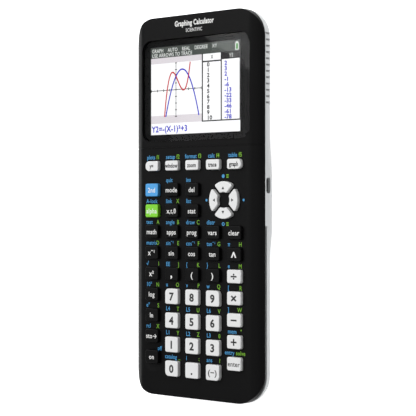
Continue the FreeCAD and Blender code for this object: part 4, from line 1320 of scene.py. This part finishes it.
    def table(self) -> None:
        """Draw the table of values with its rules and header."""
        left, middle, top, foot = self.table_left, self.table_middle, self.table_top, self.table_foot
        rules = ((left - self.rule, top, left, foot, 2),
                 (middle - self.rule, top, middle, foot, 2),
                 (1.0 - 0.5 * self.rule, top, 1.0, foot, 2),
                 (left, self.header_foot, middle, self.header_foot + 0.016, 2),
                 (left - self.rule, foot, 1.0, foot + 0.014, 2),
                 (middle, top, 1.0, self.header_foot, 1))
        dress(join("picture_rules", [self.cell("rule", *edges) for edges in rules]), LIT_BLACK, "case")
        first = self.header_foot + self.row_gap
        step = (foot - first) / self.rows
        black, blue = [], []
        for x in range(self.rows):
            line = first + (x + 0.5) * step
            black.append(self.value_type.draw(str(x), self.at(self.column_x, line, 3), Align.LEFT))
            blue.append(self.value_type.draw(str(3 - (x - 1) ** 2), self.at(self.column_y, line, 3), Align.LEFT))
        black.append(self.small_type.draw("X", self.at(self.header_x, self.header_line, 3)))
        dress(join("picture_table_x", black), LIT_BLACK, "case")
        dress(join("picture_table_y", blue), LIT_BLUE, "case")

    def words(self) -> None:
        """Set the words of the status bar, the table's header and the formula."""
        pale = [self.small_type.draw("GRAPH    AUTO    REAL    DEGREE    XY", self.at(0.012, 0.036, 3), Align.LEFT),
                self.small_type.draw("USE ARROWS TO TRACE", self.at(0.012, 0.089, 3), Align.LEFT),
                self.small_type.draw("Y2", self.at(self.header_y, self.header_line, 3))]
        dress(join("picture_words", pale), LIT_PALE, "case")
        formula = self.formula_type.draw("Y2=-(X-1)²+3", self.at(0.010, self.formula_line, 3), Align.LEFT)
        dress(join("picture_formula", [formula]), LIT_BLUE, "case")

    def battery_mark(self) -> None:
        """Draw the battery's charge in the corner of the status bar."""
        shell = [self.cell("outline", 0.947, 0.024, 0.985, 0.108, 2, 0.5 * MM),
                 self.cell("tip", 0.957, 0.012, 0.975, 0.024, 2)]
        dress(join("picture_battery", shell), LIT_PALE, "case")
        dress(self.cell("picture_charge", 0.956, 0.036, 0.976, 0.098, 3), LIT_GREEN, "case")


# ----------------------------------------------------------------- the rest


@dataclass
class Case:
    """The covers, the battery door, the feet and the screws."""

    title: str = "Graphing Calculator"
    title_type: Lettering = Lettering(3.7 * MM, 0.80, 0.030)
    title_rise: float = 7.3 * MM
    subtitle: str = "SCIENTIFIC"
    subtitle_type: Lettering = Lettering(2.5 * MM, 0.84, 0.0)
    subtitle_rise: float = 3.6 * MM

    def build(self) -> None:
        """Finish the case's nodes and print a plain description above the display."""
        for node, finish in (("front_cover", FRONT_PLASTIC), ("rear_cover", REAR_PLASTIC),
                             ("battery_door", REAR_PLASTIC), ("feet", FOOT_RUBBER), ("screws", SCREW_STEEL)):
            cover_node(node, finish)
        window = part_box("display_window")
        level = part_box("front_cover")[1].z
        films = []
        for style, words, rise in ((self.title_type, self.title, self.title_rise),
                                   (self.subtitle_type, self.subtitle, self.subtitle_rise)):
            films.append(style.draw(words, Vector((0.0, window[1].y + rise, level + PRINT_LIFT))))
        dress(join("case_title", films), INK_WHITE, "case")


@dataclass
class Internals:
    """What the case holds: the board, the key mat and the battery."""

    socket_reach: float = 7.0 * MM

    def build(self) -> None:
        """Finish the inner nodes."""
        _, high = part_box("circuit_board")
        cover_node("circuit_board", SolderMask("solder_mask", high.x - self.socket_reach))
        cover_node("key_mat", MAT_RUBBER)
        cover_node("battery_pack", BATTERY_FOIL)


@dataclass
class Studio:
    """The floor, the soft lights and the camera."""

    turn: float = 41.69
    tilt: float = 0.0785
    eye: Vector = field(default_factory=lambda: Vector((0.4830, -0.0019, 0.5458)))
    lens: float = 126.13
    sensor: float = 36.0
    far: float = 20.0
    floor_size: float = 6.0

    def build(self) -> None:
        """Set the stage."""
        self.floor()
        self.light("left_back", Vector((-0.60, 0.95, 0.95)), size=1.6, power=22.0)
        self.light("overhead", Vector((-0.15, 0.10, 1.40)), size=1.8, power=8.5)
        self.sky(strength=0.30)
        self.camera()
        bpy.context.scene.view_settings.view_transform = "Standard"

    def floor(self) -> None:
        """Lay the pale floor at the level that the feet stand on."""
        clear_selection()
        bpy.ops.mesh.primitive_plane_add(size=self.floor_size)
        floor = bpy.context.object
        floor.name = "floor"
        floor.data.materials.append(FLOOR.material())

    def light(self, name: str, place: Vector, size: float, power: float) -> None:
        """Hang a square soft light that points at the calculator.

        Args:
            name: its name.
            place: where it hangs.
            size: the length of its side.
            power: its power in watts.
        """
        clear_selection()
        bpy.ops.object.light_add(type="AREA", location=place)
        lamp = bpy.context.object
        lamp.name = name
        lamp.data.size = size
        lamp.data.energy = power
        lamp.rotation_euler = (-place).to_track_quat("-Z", "Y").to_euler()

    def sky(self, strength: float) -> None:
        """Surround the scene with an even pale light.

        Args:
            strength: how strong the light is.
        """
        world = bpy.data.worlds.new("studio")
        world.use_nodes = True
        back = world.node_tree.nodes["Background"]
        set_inputs(back, {"Color": (1.0, 1.0, 1.0, 1.0), "Strength": strength})
        bpy.context.scene.world = world

    def camera(self) -> None:
        """Place the camera to the right of the calculator and above it, turned down towards it."""
        clear_selection()
        rotation = (math.radians(self.tilt), math.radians(self.turn), 0.0)
        bpy.ops.object.camera_add(location=self.eye, rotation=rotation)
        view = bpy.context.object
        view.data.lens = self.lens
        view.data.sensor_width = self.sensor
        view.data.clip_end = self.far
        bpy.context.scene.camera = view


def main() -> None:
    """Build everything in order."""
    logging.basicConfig(level=logging.INFO, format="%(name)s: %(message)s")
    for part in (Studio(), Case(), Internals(), Display(), Keypad()):
        part.build()
        LOG.info("%s done", type(part).__name__)


if __name__ == "__main__":
    main()
